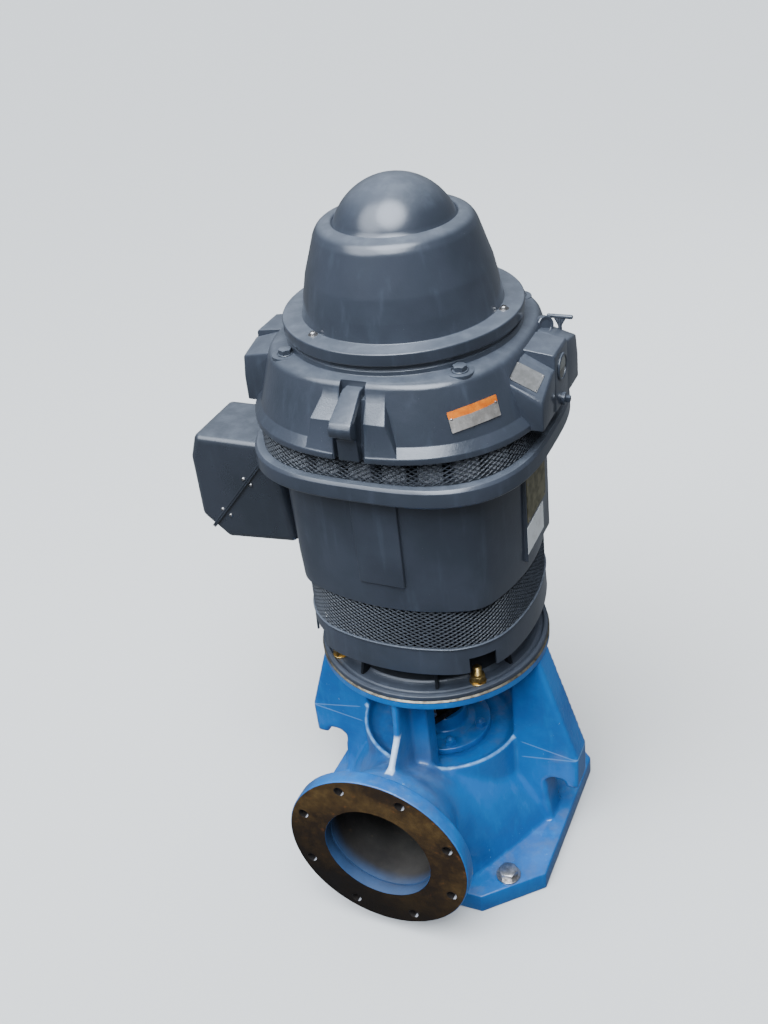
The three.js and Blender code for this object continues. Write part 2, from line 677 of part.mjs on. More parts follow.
head.add(
  piece('discharge_head', dischargeHead(), 'blue'),
  piece('stuffing_box', stuffingBox(), 'blue'),
  piece('packing_gland', packingGland(), 'iron'),
  piece('gland_stud_front', glandStud(), 'steel', [0, -stuffing.studAt, 0]),
  piece('gland_stud_rear', glandStud(), 'steel', [0, stuffing.studAt, 0]),
  piece('head_shaft', rod(shaftRadius, 0, level.frame - 2, 0, 0, 32), 'steel'),
);
motor.add(
  piece('motor_foot', motorFoot(), 'grey'),
  piece('lower_skirt', skirt(), 'grey'),
  piece('lower_screen', screenRing(200, skirtPlan, level.lowerScreen, level.frame), 'mesh'),
  piece('motor_frame', motorShell(), 'grey'),
  piece('frame_band', bandRing(), 'grey'),
  piece('air_intake_ring', intakeRing(), 'grey'),
  piece('upper_screen', screenRing(screenHalf, 2.9, level.upperScreen, level.lip), 'mesh'),
  piece('bearing_housing', bearingHousing(), 'grey'),
  piece('canopy_cap', canopy(), 'grey'),
  piece('conduit_box_base', conduitBase(), 'grey'),
  piece('conduit_box_cover', conduitCover(), 'grey'),
  piece('oil_sight_glass', sightGlass(), 'glass', [257 + gap, 0, 1022]),
  piece('oil_drain_plug', drainPlug(), 'steel', [257 + gap, 0, 967]),
  piece('oil_filler', oilFiller(), 'grey'),
  piece('filler_handle', fillerHandle(), 'grey', [handle.x, handle.y, 0]),
  piece('bracket_plate', wallPlate(), 'plate'),
);
for (const [corner, sideX, sideY] of quarterTurns) {
  const anchorPlace = [sideX * base.boltAt, sideY * base.boltAt, 0];
  const motorPlace = [sideX * motorBolt.at, sideY * motorBolt.at, 0];
  const housingPlace = [sideX * bracketBolt.x, sideY * bracketBolt.y, 0];
  head.add(piece(`anchor_bolt_${corner}`, anchorBolt(), 'zinc', anchorPlace));
  motor.add(
    piece(`motor_bolt_${corner}`, footBolt(), 'brass', motorPlace),
    piece(`housing_bolt_${corner}`, housingBolt(), 'grey', housingPlace),
  );
}

// Plates on the flat pad at the right side of the frame
motor.add(
  piece('nameplate', block([0, -48, -58], [1.2, 48, 58]), 'plate', [padFace, 1, 812]),
  piece('side_label', block([0, -43, -26], [0.6, 43, 26]), 'paper', [padFace, -8, 720]),
);

// Blank plate on the near cheek of the right block
motor.add(onNearCheek(piece('block_plate', flatPlate(...cheekPlate), 'plate')));

export default pump;
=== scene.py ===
# Vertical turbine pump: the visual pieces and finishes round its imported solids
import bpy
import bmesh
import math
from mathutils import Matrix, Vector
from mathutils.bvhtree import BVHTree


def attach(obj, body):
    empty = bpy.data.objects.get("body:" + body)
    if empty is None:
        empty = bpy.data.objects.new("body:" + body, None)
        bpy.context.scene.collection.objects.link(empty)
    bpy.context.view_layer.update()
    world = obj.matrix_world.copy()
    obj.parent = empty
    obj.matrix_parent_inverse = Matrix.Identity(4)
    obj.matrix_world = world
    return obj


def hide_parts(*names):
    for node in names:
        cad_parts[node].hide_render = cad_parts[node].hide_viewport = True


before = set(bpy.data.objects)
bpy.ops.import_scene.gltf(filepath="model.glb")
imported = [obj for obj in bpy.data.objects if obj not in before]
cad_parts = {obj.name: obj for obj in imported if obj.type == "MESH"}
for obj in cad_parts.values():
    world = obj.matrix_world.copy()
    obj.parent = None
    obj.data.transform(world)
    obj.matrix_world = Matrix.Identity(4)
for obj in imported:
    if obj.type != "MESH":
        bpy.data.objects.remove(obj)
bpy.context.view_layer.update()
scene = bpy.context.scene
mm = 0.001  # pieces are drawn in millimetres and scaled once at the end


# Shapes

def softLine(points, steps=5):
    # a line through (across, up, fillet) points, with the corners that have a fillet rounded
    line = []
    for i, point in enumerate(points):
        at = Vector(point[:2])
        radius = point[2] if len(point) > 2 else 0
        if radius == 0:
            line.append(tuple(at))
            continue
        before = Vector(points[i - 1][:2])
        after = Vector(points[(i + 1) % len(points)][:2])
        back = (before - at).normalized()
        onward = (after - at).normalized()
        half = back.angle(onward) / 2
        reach = radius / math.tan(half)
        centre = at + (back + onward).normalized() * radius / math.sin(half)
        first = at + back * reach - centre
        last = at + onward * reach - centre
        for k in range(steps + 1):
            line.append(tuple(centre + first.lerp(last, k / steps).normalized() * radius))
    return line


def onCircle(radius, degrees):
    angle = math.radians(degrees)
    return radius * math.cos(angle), radius * math.sin(angle)


def ringPoints(radius, steps):
    return [(radius * math.cos(math.tau * k / steps),
             radius * math.sin(math.tau * k / steps)) for k in range(steps)]


def outward(bm):
    bmesh.ops.recalc_face_normals(bm, faces=bm.faces)
    return bm


def spun(profile, steps=128):
    bm = bmesh.new()
    verts = [bm.verts.new((max(across, 0), 0, up)) for across, up in profile]
    edges = [bm.edges.new(pair) for pair in zip(verts, verts[1:])]
    bmesh.ops.spin(bm, geom=verts + edges, cent=(0, 0, 0), axis=(0, 0, 1), angle=math.tau, steps=steps,
                   use_merge=True, use_duplicate=False)
    bmesh.ops.remove_doubles(bm, verts=bm.verts, dist=0.001)
    return outward(bm)


def spunRing(profile, steps=128):
    return spun(profile + profile[:1], steps)


def tube(inner, outer, low, high, steps):
    return spunRing([(inner, low), (outer, low), (outer, high), (inner, high)], steps)


def pull(across, along, plan):
    # how far a circle's point moves out to lie on a squarer outline: the plan is a power,
    # or the radii of bowed sides and round corners per unit of half width
    length = math.hypot(across, along)
    if length < 1e-6:
        return 1
    across, along = abs(across) / length, abs(along) / length
    if not isinstance(plan, tuple):
        return (across ** plan + along ** plan) ** (-1 / plan)
    side, corner = plan
    far, near = max(across, along), min(across, along)
    shift = side - 1
    centre = (math.sqrt(2 * (side - corner) ** 2 - shift ** 2) - shift) / 2
    lean = math.atan2(centre, centre + shift)
    if math.atan2(near, far) < math.atan2(side * math.sin(lean), side * math.cos(lean) - shift):
        return math.sqrt(side ** 2 - (shift * near) ** 2) - shift * far
    return centre * (far + near) + math.sqrt(corner ** 2 - (centre * (far - near)) ** 2)


def powerAt(levels, height):
    # levels are (height, power) pairs, from low to high
    for (low, first), (high, second) in zip(levels, levels[1:]):
        if height <= high:
            share = min(max((height - low) / (high - low), 0), 1)
            return first + (second - first) * share
    return levels[-1][1]


def squared(bm, plan):
    # plan is one for pull, or a list of levels
    for vert in bm.verts:
        factor = pull(vert.co.x, vert.co.y, powerAt(plan, vert.co.z) if isinstance(plan, list) else plan)
        vert.co.x *= factor
        vert.co.y *= factor
    return bm


def vertsOf(geometry):
    return [part for part in geometry if isinstance(part, bmesh.types.BMVert)]


def bar(outline, axis, low, high):
    # prism: the outline is in X and Z for an axis of Y, in Y and Z for X, and in X and Y for Z
    bm = bmesh.new()
    corners = {
        "X": lambda p: (low, p[0], p[1]),
        "Y": lambda p: (p[0], low, p[1]),
        "Z": lambda p: (p[0], p[1], low),
    }[axis]
    face = bm.faces.new([bm.verts.new(corners(point)) for point in outline])
    made = bmesh.ops.extrude_face_region(bm, geom=[face])
    shift = Vector([high - low if axis == name else 0 for name in "XYZ"])
    bmesh.ops.translate(bm, vec=shift, verts=vertsOf(made["geom"]))
    return outward(bm)


def box(low, high):
    bm = bmesh.new()
    middle = [(a + b) / 2 for a, b in zip(low, high)]
    size = [b - a for a, b in zip(low, high)]
    bmesh.ops.create_cube(bm, size=1, matrix=Matrix.Translation(middle) @ Matrix.Diagonal((*size, 1)))
    return bm


def hull(points):
    bm = bmesh.new()
    verts = [bm.verts.new(point) for point in points]
    made = bmesh.ops.convex_hull(bm, input=verts)
    loose = set(vertsOf(made["geom_interior"] + made["geom_unused"]))
    bmesh.ops.delete(bm, geom=list(loose), context="VERTS")
    return outward(bm)


def disc(radius, low, high, at=(0, 0, 0), axis="Z", steps=40):
    bm = bmesh.new()
    turn = {"Z": Matrix(), "X": Matrix.Rotation(math.pi / 2, 4, "Y"),
            "Y": Matrix.Rotation(-math.pi / 2, 4, "X")}
    along = Vector([(low + high) / 2 if axis == name else 0 for name in "XYZ"])
    place = Matrix.Translation(Vector(at) + along) @ turn[axis]
    bmesh.ops.create_cone(bm, cap_ends=True, segments=steps, radius1=radius, radius2=radius,
                          depth=high - low,
                          matrix=place)
    return bm


def hexHead(flats, low, high):
    # a hexagon with the crown of its corners turned off, as on a real bolt head
    bm = bmesh.new()
    bmesh.ops.create_cone(bm, cap_ends=True, segments=24, radius1=1, radius2=1, depth=2)
    top = [face for face in bm.faces if face.normal.z > 0.9]
    bmesh.ops.inset_region(bm, faces=top, thickness=0.1)
    crown = set(top[0].verts)
    inner = flats * 0.47
    for vert in bm.verts:
        angle = math.atan2(vert.co.y, vert.co.x)
        side = (angle % (math.pi / 3)) - math.pi / 6
        radius = inner if vert in crown else flats / 2 / math.cos(side)
        height = high - (radius - inner) * 0.6 if vert.co.z > 0 else low
        vert.co = (radius * math.cos(angle), radius * math.sin(angle), height)
    return bm


def panHead(radius, height):
    # small screw head with a cross recess, standing on z = 0
    crown = spun([
        (0, -1), (radius, -1), (radius, height * 0.25), (radius * 0.86, height * 0.72),
        (radius * 0.55, height), (0, height),
    ], 20)
    low, high = (-radius * 0.62, -radius * 0.13, height * 0.45), (radius * 0.62, radius * 0.13, height + 1)
    return carved(crown, *[turned(box(low, high), degrees) for degrees in (0, 90)])


def moved(bm, x=0, y=0, z=0):
    bmesh.ops.translate(bm, vec=(x, y, z), verts=bm.verts)
    return bm


def rotated(bm, matrix):
    bmesh.ops.rotate(bm, cent=(0, 0, 0), matrix=matrix, verts=bm.verts)
    return bm


def turned(bm, degrees, axis="Z"):
    return rotated(bm, Matrix.Rotation(math.radians(degrees), 3, axis))


def mirrored(bm):
    # from right to left
    bmesh.ops.scale(bm, vec=(-1, 1, 1), verts=bm.verts)
    bmesh.ops.reverse_faces(bm, faces=bm.faces)
    return bm


def painted(bm, index):
    for face in bm.faces:
        face.material_index = index
    return bm


def softened(bm, offset, segments=2, least=30):
    sharp = [edge for edge in bm.edges if edge.is_manifold and edge.calc_face_angle(0) > math.radians(least)]
    bmesh.ops.bevel(bm, geom=sharp, offset=offset, segments=segments, profile=0.5, affect="EDGES",
                    material=-1, clamp_overlap=True)
    return bm


def takeMesh(bm, name="working"):
    mesh = bpy.data.meshes.new(name)
    bm.to_mesh(mesh)
    bm.free()
    return mesh


def gathered(*shapes):
    whole = bmesh.new()
    for shape in shapes:
        mesh = takeMesh(shape)
        whole.from_mesh(mesh)
        bpy.data.meshes.remove(mesh)
    return whole


def addObject(name, data):
    obj = bpy.data.objects.new(name, data)
    scene.collection.objects.link(obj)
    return obj


def dropObject(obj):
    mesh = obj.data
    bpy.data.objects.remove(obj)
    bpy.data.meshes.remove(mesh)


def withModifiers(obj):
    # the shape that the modifiers make; the working object goes
    graph = bpy.context.evaluated_depsgraph_get()
    graph.update()
    made = bmesh.new()
    mesh = bpy.data.meshes.new_from_object(obj.evaluated_get(graph))
    made.from_mesh(mesh)
    bpy.data.meshes.remove(mesh)
    dropObject(obj)
    return made


def carved(bm, *tools, operation="DIFFERENCE"):
    body = addObject("working", takeMesh(bm))
    cutters = [addObject("working", takeMesh(tool)) for tool in tools]
    for cutter in cutters:
        cut = body.modifiers.new("cut", "BOOLEAN")
        cut.operation = operation
        cut.object = cutter
        cut.solver = "EXACT"
    made = withModifiers(body)
    for cutter in cutters:
        dropObject(cutter)
    return made


def castSkin(bm, voxel, rounds):
    # runs closed shapes into one skin with soft fillets, as a sand casting has
    body = addObject("working", takeMesh(bm))
    skin = body.modifiers.new("skin", "REMESH")
    skin.mode = "VOXEL"
    skin.voxel_size = voxel
    fillets = body.modifiers.new("fillets", "SMOOTH")
    fillets.factor = 0.5
    fillets.iterations = rounds
    return withModifiers(body)


def settle(name, bm, finishes, stands=(), sharpAngle=35):
    # a finished piece: scaled to metres, shaded, riding on the frame
    bmesh.ops.remove_doubles(bm, verts=bm.verts, dist=0.001)
    bmesh.ops.scale(bm, vec=(mm, mm, mm), verts=bm.verts)
    mesh = takeMesh(bm, name)
    for finish in finishes:
        mesh.materials.append(finish)
    mesh.polygons.foreach_set("use_smooth", [True] * len(mesh.polygons))
    mesh.set_sharp_from_angle(angle=math.radians(sharpAngle))
    obj = addObject(name, mesh)
    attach(obj, "root")
    if stands:
        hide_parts(*stands)
    return obj


# Shader helpers

def srgb(red, green, blue):
    def linear(value):
        value = value / 255
        return value / 12.92 if value <= 0.04045 else ((value + 0.055) / 1.055) ** 2.4
    return (linear(red), linear(green), linear(blue), 1)


class Wire:
    # an output socket; arithmetic on it adds Math nodes
    def __init__(self, finish, socket):
        self.finish = finish
        self.socket = socket

    def maths(self, operation, first, second=0.0, clamp=False):
        return self.finish.node("ShaderNodeMath", {"operation": operation, "use_clamp": clamp},
                                {0: first, 1: second})

    def __add__(self, other):
        return self.maths("ADD", self, other)

    def __sub__(self, other):
        return self.maths("SUBTRACT", self, other)

    def __rsub__(self, other):
        return self.maths("SUBTRACT", other, self)

    def __mul__(self, other):
        return self.maths("MULTIPLY", self, other)

    def __pow__(self, other):
        return self.maths("POWER", self, other)

    def __abs__(self):
        return self.maths("ABSOLUTE", self)

    def clamped(self):
        return self.maths("ADD", self, 0.0, True)

    __radd__ = __add__
    __rmul__ = __mul__


class Finish:
    def __init__(self, name, **constants):
        self.material = bpy.data.materials.new(name)
        self.material.use_nodes = True
        self.tree = self.material.node_tree
        self.tree.nodes.clear()
        output = self.tree.nodes.new("ShaderNodeOutputMaterial")
        self.shader = self.tree.nodes.new("ShaderNodeBsdfPrincipled")
        self.tree.links.new(self.shader.outputs[0], output.inputs[0])
        self.place = self.node("ShaderNodeTexCoord", out="Object")
        for socket, value in constants.items():
            self.shader.inputs[socket.replace("_", " ")].default_value = value

    def node(self, kind, settings=None, sockets=None, out=0):
        made = self.tree.nodes.new(kind)
        for key, value in (settings or {}).items():
            if key == "stops":
                self.setStops(made.color_ramp.elements, value)
            else:
                setattr(made, key, value)
        for key, value in (sockets or {}).items():
            if isinstance(value, Wire):
                self.tree.links.new(value.socket, made.inputs[key])
            else:
                made.inputs[key].default_value = value
        return Wire(self, made.outputs[out])

    def setStops(self, elements, stops):
        for i, (position, colour) in enumerate(stops):
            element = elements[i] if i < len(elements) else elements.new(position)
            element.position = position
            element.color = colour

    def feed(self, **links):
        # joins the colour and the other varying inputs to the shader
        for socket, wire in {"Base_Color": self.colour, **links}.items():
            self.tree.links.new(wire.socket, self.shader.inputs[socket.replace("_", " ")])
        return self.material

    def noise(self, scale, detail=3, roughness=0.5, stretch=None):
        place = self.place
        if stretch:
            place = self.node("ShaderNodeMapping", {}, {"Vector": place, "Scale": stretch})
        return self.node("ShaderNodeTexNoise", {},
                         {"Vector": place, "Scale": scale, "Detail": detail, "Roughness": roughness})

    def step(self, value, low, high):
        # 0 below low, 1 above high, smooth between
        return self.node("ShaderNodeMapRange", {"interpolation_type": "SMOOTHSTEP"},
                         {"Value": value, "From Min": low, "From Max": high})

    def mask(self, low, high, *grain):
        # patches where a noise is high
        return self.step(self.noise(*grain), low, high)

    def clouded(self, grain, low, high, light, dark):
        # starts the colour with two tones in soft clouds; gives the noise for other uses
        cloud = self.noise(*grain)
        self.colour = self.mix(self.step(cloud, low, high), light, dark)
        return cloud

    def upward(self, low, high):
        # 1 on faces that look up
        return self.step(self.facing("Z"), low, high)

    def line(self, value, half, soft):
        # 1 where the value is close to nothing
        return 1 - self.step(abs(value), half, half + soft)

    def mix(self, factor, first, second):
        return self.node("ShaderNodeMix", {"data_type": "RGBA"}, {0: factor, 6: first, 7: second}, 2)

    def over(self, factor, layer):
        self.colour = self.mix(factor, self.colour, layer)

    def axis(self, name):
        return self.node("ShaderNodeSeparateXYZ", {}, {"Vector": self.place}, "XYZ".index(name))

    def facing(self, name):
        normal = self.node("ShaderNodeNewGeometry", out="Normal")
        return self.node("ShaderNodeSeparateXYZ", {}, {"Vector": normal}, "XYZ".index(name))

    def pointiness(self):
        return self.node("ShaderNodeNewGeometry", out="Pointiness")

    def radial(self, centre=(0, 0), axes="XY"):
        # distance from a line through the piece, in metres
        first = self.axis(axes[0]) - centre[0]
        second = self.axis(axes[1]) - centre[1]
        return (first * first + second * second) ** 0.5

    def bump(self, height, distance, under=None):
        sockets = {"Height": height, "Distance": distance, "Strength": 1.0}
        if under:
            sockets["Normal"] = under
        return self.node("ShaderNodeBump", {}, sockets)


print("helpers ready")


# Finishes

def greyEnamel(name, look):
    finish = Finish(name, Coat_Roughness=look["coatRoughness"], Specular_IOR_Level=look["specular"])
    finish.clouded((look["patches"], 4, 0.6), 0.35, 0.68, look["colour"], look["dark"])
    finish.over(finish.mask(0.52, 0.8, 9, 4, 0.55, (6, 6, 0.9)) * 0.35, look["light"])
    # partly painted light: upward faces get a pale bluish tone, as dust and as the sky lighting the tops
    dustAndTopLightMask = finish.upward(0.55, 1.0) * (0.6 + finish.mask(0.38, 0.72, 38, 5, 0.65) * 0.4)
    finish.over(dustAndTopLightMask * look["dustAndTopLight"], look["dustAndTopLightColour"])
    specks = finish.mask(0.74, 0.78, 420, 2, 0.5) * finish.mask(0.5, 0.62, 16, 2)
    finish.over(specks * 0.6, look["speck"])
    if look.get("wornEdges"):
        edge = finish.step(finish.pointiness(), 0.56, 0.66) * finish.mask(0.4, 0.62, 90, 4, 0.6)
        finish.over(edge * look["wornEdges"], look["light"])
    peel = finish.noise(look["peelScale"], 2, 0.5)
    pits = finish.noise(look["castScale"], 4, 0.6)
    normal = finish.bump(peel, look["peel"])
    normal = finish.bump(pits, look["cast"], normal)
    rough = finish.noise(30, 4, 0.6) * 0.14 + look["roughness"] + dustAndTopLightMask * 0.08
    gloss = look["coat"] - dustAndTopLightMask * look["coat"] * 0.35
    return finish.feed(Roughness=rough, Coat_Weight=gloss, Normal=normal)


slate = {
    "colour": srgb(55, 60, 69), "dark": srgb(46, 51, 59), "light": srgb(76, 84, 95),
    "dustAndTopLightColour": srgb(134, 140, 148), "speck": srgb(130, 132, 136), "dustAndTopLight": 0.3, "patches": 7,
    "peelScale": 260, "peel": 0.00012, "castScale": 70, "cast": 0.0003,
    "roughness": 0.25, "coatRoughness": 0.09, "specular": 0.5, "coat": 0.8,
}
slateSmooth = greyEnamel("slateEnamelSheet", {**slate, "cast": 0.00012, "roughness": 0.24, "dustAndTopLight": 0.42})
slateCast = greyEnamel("slateEnamelCast", {**slate, "cast": 0.0004, "castScale": 110, "wornEdges": 0.5})
# painted shade: a darker copy of the slate enamel for the conduit box
slateBox = greyEnamel("slateEnamelBox", {
    **slate, "colour": srgb(47, 51, 58), "dark": srgb(39, 43, 49), "light": srgb(60, 65, 73),
    "castScale": 110, "wornEdges": 0.6, "roughness": 0.22, "coat": 1.0,
})
# painted shade: a shaded copy of the slate enamel for the foot under the skirt, with little of the painted
# top light and less gloss
slateShaded = greyEnamel("slateEnamelShaded", {
    **slate, "cast": 0.0005, "castScale": 110, "dustAndTopLight": 0.05, "roughness": 0.38, "coat": 0.3,
})
slateRough = greyEnamel("slateEnamelAsCast", {
    **slate, "colour": srgb(92, 96, 102), "dark": srgb(70, 74, 80),
    "cast": 0.0016, "castScale": 330, "roughness": 0.4,
})
# partly painted light: a pale cast tone, raised so the intake posts show bright in the shade under the
# housing lip
castAluminiumLit = greyEnamel("castAluminiumPaintedLight", {
    **slate, "colour": srgb(186, 188, 192), "dark": srgb(152, 154, 160), "light": srgb(220, 222, 226),
    "cast": 0.0016, "castScale": 330, "roughness": 0.5, "coat": 0.1, "dustAndTopLight": 0.1,
})


def blueEnamel(name, look):
    finish = Finish(name, Coat_Roughness=0.12, Specular_IOR_Level=0.5)
    finish.clouded((8, 4, 0.6), 0.36, 0.66, look["colour"], look["dark"])
    brushed = finish.noise(60, 3, 0.5, (1, 1, 0.22))
    finish.over(finish.step(brushed, 0.5, 0.8) * 0.28, look["light"])
    grime = finish.upward(0.5, 0.98) * finish.mask(0.42, 0.7, 26, 5, 0.7)
    fromCrown = abs(finish.axis("Y") + 0.2) + abs(finish.axis("Z") - 0.28)  # the crown of the outlet neck
    crown = 1 - finish.step(fromCrown, 0.04, 0.12)
    dirt = (grime * look["dirt"] + crown * finish.noise(40, 5, 0.7) * 0.5).clamped()
    finish.over(dirt, look["dirtColour"])
    chips = finish.mask(0.66, 0.7, 150, 4, 0.6) * finish.mask(0.55, 0.65, 9, 3)
    finish.over(chips * 0.55, look["chip"])
    across, height = abs(finish.axis("X")), finish.axis("Z")
    wear = finish.step(finish.pointiness(), 0.55, 0.64) * finish.mask(0.42, 0.62, 75, 5, 0.65)
    # partly wear, partly painted highlight: a light line along the upper rim of the barrel
    fromRim = abs(finish.radial() - look["rimRadius"]) + abs(height - look["rimHeight"])
    rim = 1 - finish.step(fromRim, 0.002, 0.008)
    rimWearAndHighlight = rim * (finish.mask(0.32, 0.62, 50, 4, 0.6) * 0.6 + 0.2)
    # partly wear, partly painted highlight: light lines along the creases over the arms
    low, high = (finish.line(height - across * slope - rise, 0.0006, 0.0016)
                 for slope, rise in look["foldLines"])
    creaseWearAndHighlight = (low + high) * finish.step(across, 0.165, 0.175) * look["creaseWearAndHighlight"]
    # edge wear and the painted highlight lines, laid on in one light tone
    wornAndHighlight = (wear * look["wear"] + rimWearAndHighlight + creaseWearAndHighlight).clamped()
    finish.over(wornAndHighlight, look["wornAndHighlight"])
    # partly wear, partly painted highlight: a light line along the sloping front edge of the rib
    slope = (height - 0.364) * 0.671 - (finish.axis("Y") + 0.214) * 0.742  # from the sloping edge of the rib
    ribEdgeWearAndHighlight = finish.line(across, 0.006, 0.003) * finish.line(slope, 0.0035, 0.003)
    ribEdgeWearAndHighlight = ribEdgeWearAndHighlight * finish.line(height - 0.343, 0.022, 0.008)
    finish.over(ribEdgeWearAndHighlight * (finish.noise(180, 4, 0.6) * 0.6 + 0.5).clamped(), look["bare"])
    normal = finish.bump(finish.noise(120, 4, 0.55), 0.0006)
    normal = finish.bump(brushed, 0.0003, normal)
    rough = finish.noise(34, 4, 0.6) * 0.16 + look["roughness"] + dirt * 0.25
    return finish.feed(Roughness=rough, Coat_Weight=0.5 - dirt * 0.4, Normal=normal)


blue = {
    "colour": srgb(25, 105, 174), "dark": srgb(17, 86, 150), "light": srgb(54, 136, 202),
    "dirtColour": srgb(112, 114, 112), "chip": srgb(140, 176, 200), "wornAndHighlight": srgb(148, 198, 236),
    "bare": srgb(200, 220, 238), "dirt": 0.3, "wear": 0.5, "creaseWearAndHighlight": 0.3, "roughness": 0.24,
    # metres: slope and rise of the creases over the arms, and the upper rim of the barrel
    "foldLines": ((0.157, 0.1721), (-0.189, 0.2687)), "rimRadius": 0.1565, "rimHeight": 0.2445,
}
bluePaint = blueEnamel("blueEnamel", blue)


def rustFace():
    # machined flange face, dark with rust and old grease
    finish = Finish("rustedFace", Specular_IOR_Level=0.25)
    broad = finish.noise(11, 5, 0.65)
    fine = finish.noise(75, 6, 0.7)
    stops = [
        (0.3, srgb(24, 18, 12)), (0.46, srgb(46, 33, 20)),
        (0.58, srgb(76, 57, 32)), (0.76, srgb(112, 88, 50)),
    ]
    finish.colour = finish.node("ShaderNodeValToRGB", {"stops": stops}, {0: broad * 0.75 + fine * 0.28})
    finish.over(finish.step(fine, 0.6, 0.72) * 0.5, srgb(134, 76, 38))
    # painted shade: the face darkens towards the bottom, more so on the left
    low = 1 - finish.step(finish.axis("Z") + finish.axis("X") * 0.3, 0.04, 0.3)
    finish.over(low * 0.92, srgb(12, 10, 9))
    turning = finish.radial((0, 0.203), "XZ") * 5200  # the tool marks go round the outlet
    rings = finish.node("ShaderNodeMath", {"operation": "SINE"}, {0: turning})
    normal = finish.bump(fine, 0.0008, finish.bump(rings, 0.00006))
    bare = finish.step(broad, 0.3, 0.6) * 0.25
    return finish.feed(Roughness=0.46 + fine * 0.3, Metallic=bare, Normal=normal)


def boreIron():
    # unpainted inside of the casting
    finish = Finish("bareBore", Specular_IOR_Level=0.35)
    fine = finish.noise(60, 5, 0.65)
    finish.clouded((9, 5, 0.6), 0.35, 0.65, srgb(31, 29, 28), srgb(45, 41, 38))
    finish.over(finish.step(fine, 0.62, 0.75) * 0.4, srgb(104, 84, 58))
    paint = 1 - finish.step(finish.axis("Y") + finish.noise(30, 4) * 0.012, -0.322, -0.282)
    finish.over(paint * (finish.noise(22, 4, 0.6) * 0.6 + 0.5), srgb(56, 86, 126))
    # partly painted light: upward faces inside the bore are lighter, as dust and as the lit floor of the
    # bore
    dustAndTopLight = finish.upward(0.2, 1.0) * finish.mask(0.2, 0.9, 10, 4, 0.55)
    finish.over(dustAndTopLight * 0.32, srgb(112, 108, 100))
    return finish.feed(Roughness=0.62 - paint * 0.2, Normal=finish.bump(fine, 0.001))


def holeWall():
    # bolt hole in the flange: dark, with a painted glint where its wall looks up
    finish = Finish("holeWall", Specular_IOR_Level=0.5)
    grain = finish.noise(200, 3)
    glint = finish.step(finish.facing("Z") * 0.8 - finish.facing("X") * 0.6, 0.86, 1.0)
    finish.colour = finish.mix(grain, srgb(22, 19, 17), srgb(40, 35, 31))
    finish.over(glint, srgb(180, 180, 184))
    return finish.feed(Roughness=0.34 + grain * 0.2)


def metal(name, light, dark, roughness, scale=90, stain=None):
    finish = Finish(name, Specular_IOR_Level=0.5)
    cloud = finish.clouded((scale, 4, 0.6), 0.35, 0.7, light, dark)
    if stain:
        finish.over(finish.mask(0.56, 0.7, scale * 1.7, 5, 0.7) * 0.6, stain)
    metallic = 0.95 - finish.step(cloud, 0.6, 0.8) * 0.3
    normal = finish.bump(finish.noise(scale * 6, 3), 0.0002)
    return finish.feed(Roughness=roughness + cloud * 0.2, Metallic=metallic, Normal=normal)


rusty = rustFace()
bore = boreIron()
holeInside = holeWall()
brass = metal("yellowPlated", srgb(196, 166, 104), srgb(136, 110, 62), 0.24, 140, srgb(92, 66, 34))
zinc = metal("zincPlated", srgb(192, 188, 184), srgb(144, 140, 136), 0.22, 160, srgb(126, 112, 98))
steel = metal("bareSteel", srgb(176, 176, 178), srgb(120, 118, 116), 0.3, 120, srgb(110, 84, 60))
darkIron = metal("darkIron", srgb(66, 54, 42), srgb(40, 32, 26), 0.5, 90, srgb(104, 66, 36))
machined = metal("machinedEdge", srgb(152, 144, 126), srgb(98, 90, 76), 0.4, 80, srgb(120, 92, 62))


def screenPaint():
    finish = Finish("screenEnamel", Specular_IOR_Level=0.3)
    cloud = finish.clouded((40, 4, 0.6), 0.4, 0.7, srgb(24, 27, 32), srgb(38, 42, 48))
    # painted highlight: upward faces of the strands are lighter
    finish.over(finish.upward(0.3, 0.9) * 0.2, srgb(96, 100, 106))
    return finish.feed(Roughness=0.32 + cloud * 0.2)


def shadowed():
    # painted shade: near-black for what lies in shade behind the screens and under the skirt
    finish = Finish("ductShadow", Specular_IOR_Level=0.2)
    finish.colour = finish.mix(finish.noise(30, 3), srgb(16, 18, 21), srgb(30, 33, 38))
    return finish.feed(Roughness=0.7 + finish.noise(50, 3) * 0.2)


def blankPlate(name, base, tint, grain, stripe=None):
    # brushed plate; stripe is (height where it starts, light tone, dark tone)
    finish = Finish(name, Specular_IOR_Level=0.5)
    cloud = finish.clouded((50, 4, 0.6), 0.36, 0.66, base, tint)
    smear = finish.noise(190, 4, 0.6)
    finish.over(finish.step(smear, 0.56, 0.7) * 0.35, srgb(70, 66, 60))
    metallic = 0.8 - finish.step(smear, 0.55, 0.75) * 0.4
    if stripe:
        along = finish.axis("X") * 0.687 + finish.axis("Y") * 0.727
        band = finish.step(finish.axis("Z") - along * 0.068, stripe[0] - 0.0002, stripe[0] + 0.0002)
        finish.over(band, finish.mix(finish.step(cloud, 0.35, 0.7), *stripe[1:]))
        metallic = metallic * (1 - band)
    brush = finish.noise(*grain)
    return finish.feed(Roughness=0.34 + cloud * 0.2, Metallic=metallic, Normal=finish.bump(brush, 0.0001))


screenGrey = screenPaint()
paintedShade = shadowed()
brushedUp, brushedAcross = ((700, 2, 0.5, stretch) for stretch in ((1, 1, 0.06), (1, 0.06, 1)))
silverPlate = blankPlate("silverPlate", srgb(152, 150, 146), srgb(124, 122, 118), brushedUp)
stripedPlate = blankPlate("stripedPlate", srgb(222, 214, 204), srgb(182, 174, 164), brushedUp,
                          (1.0208, srgb(232, 128, 28), srgb(196, 92, 14)))
tanPlate = blankPlate("ratingPlate", srgb(164, 156, 124), srgb(128, 121, 96), brushedAcross)


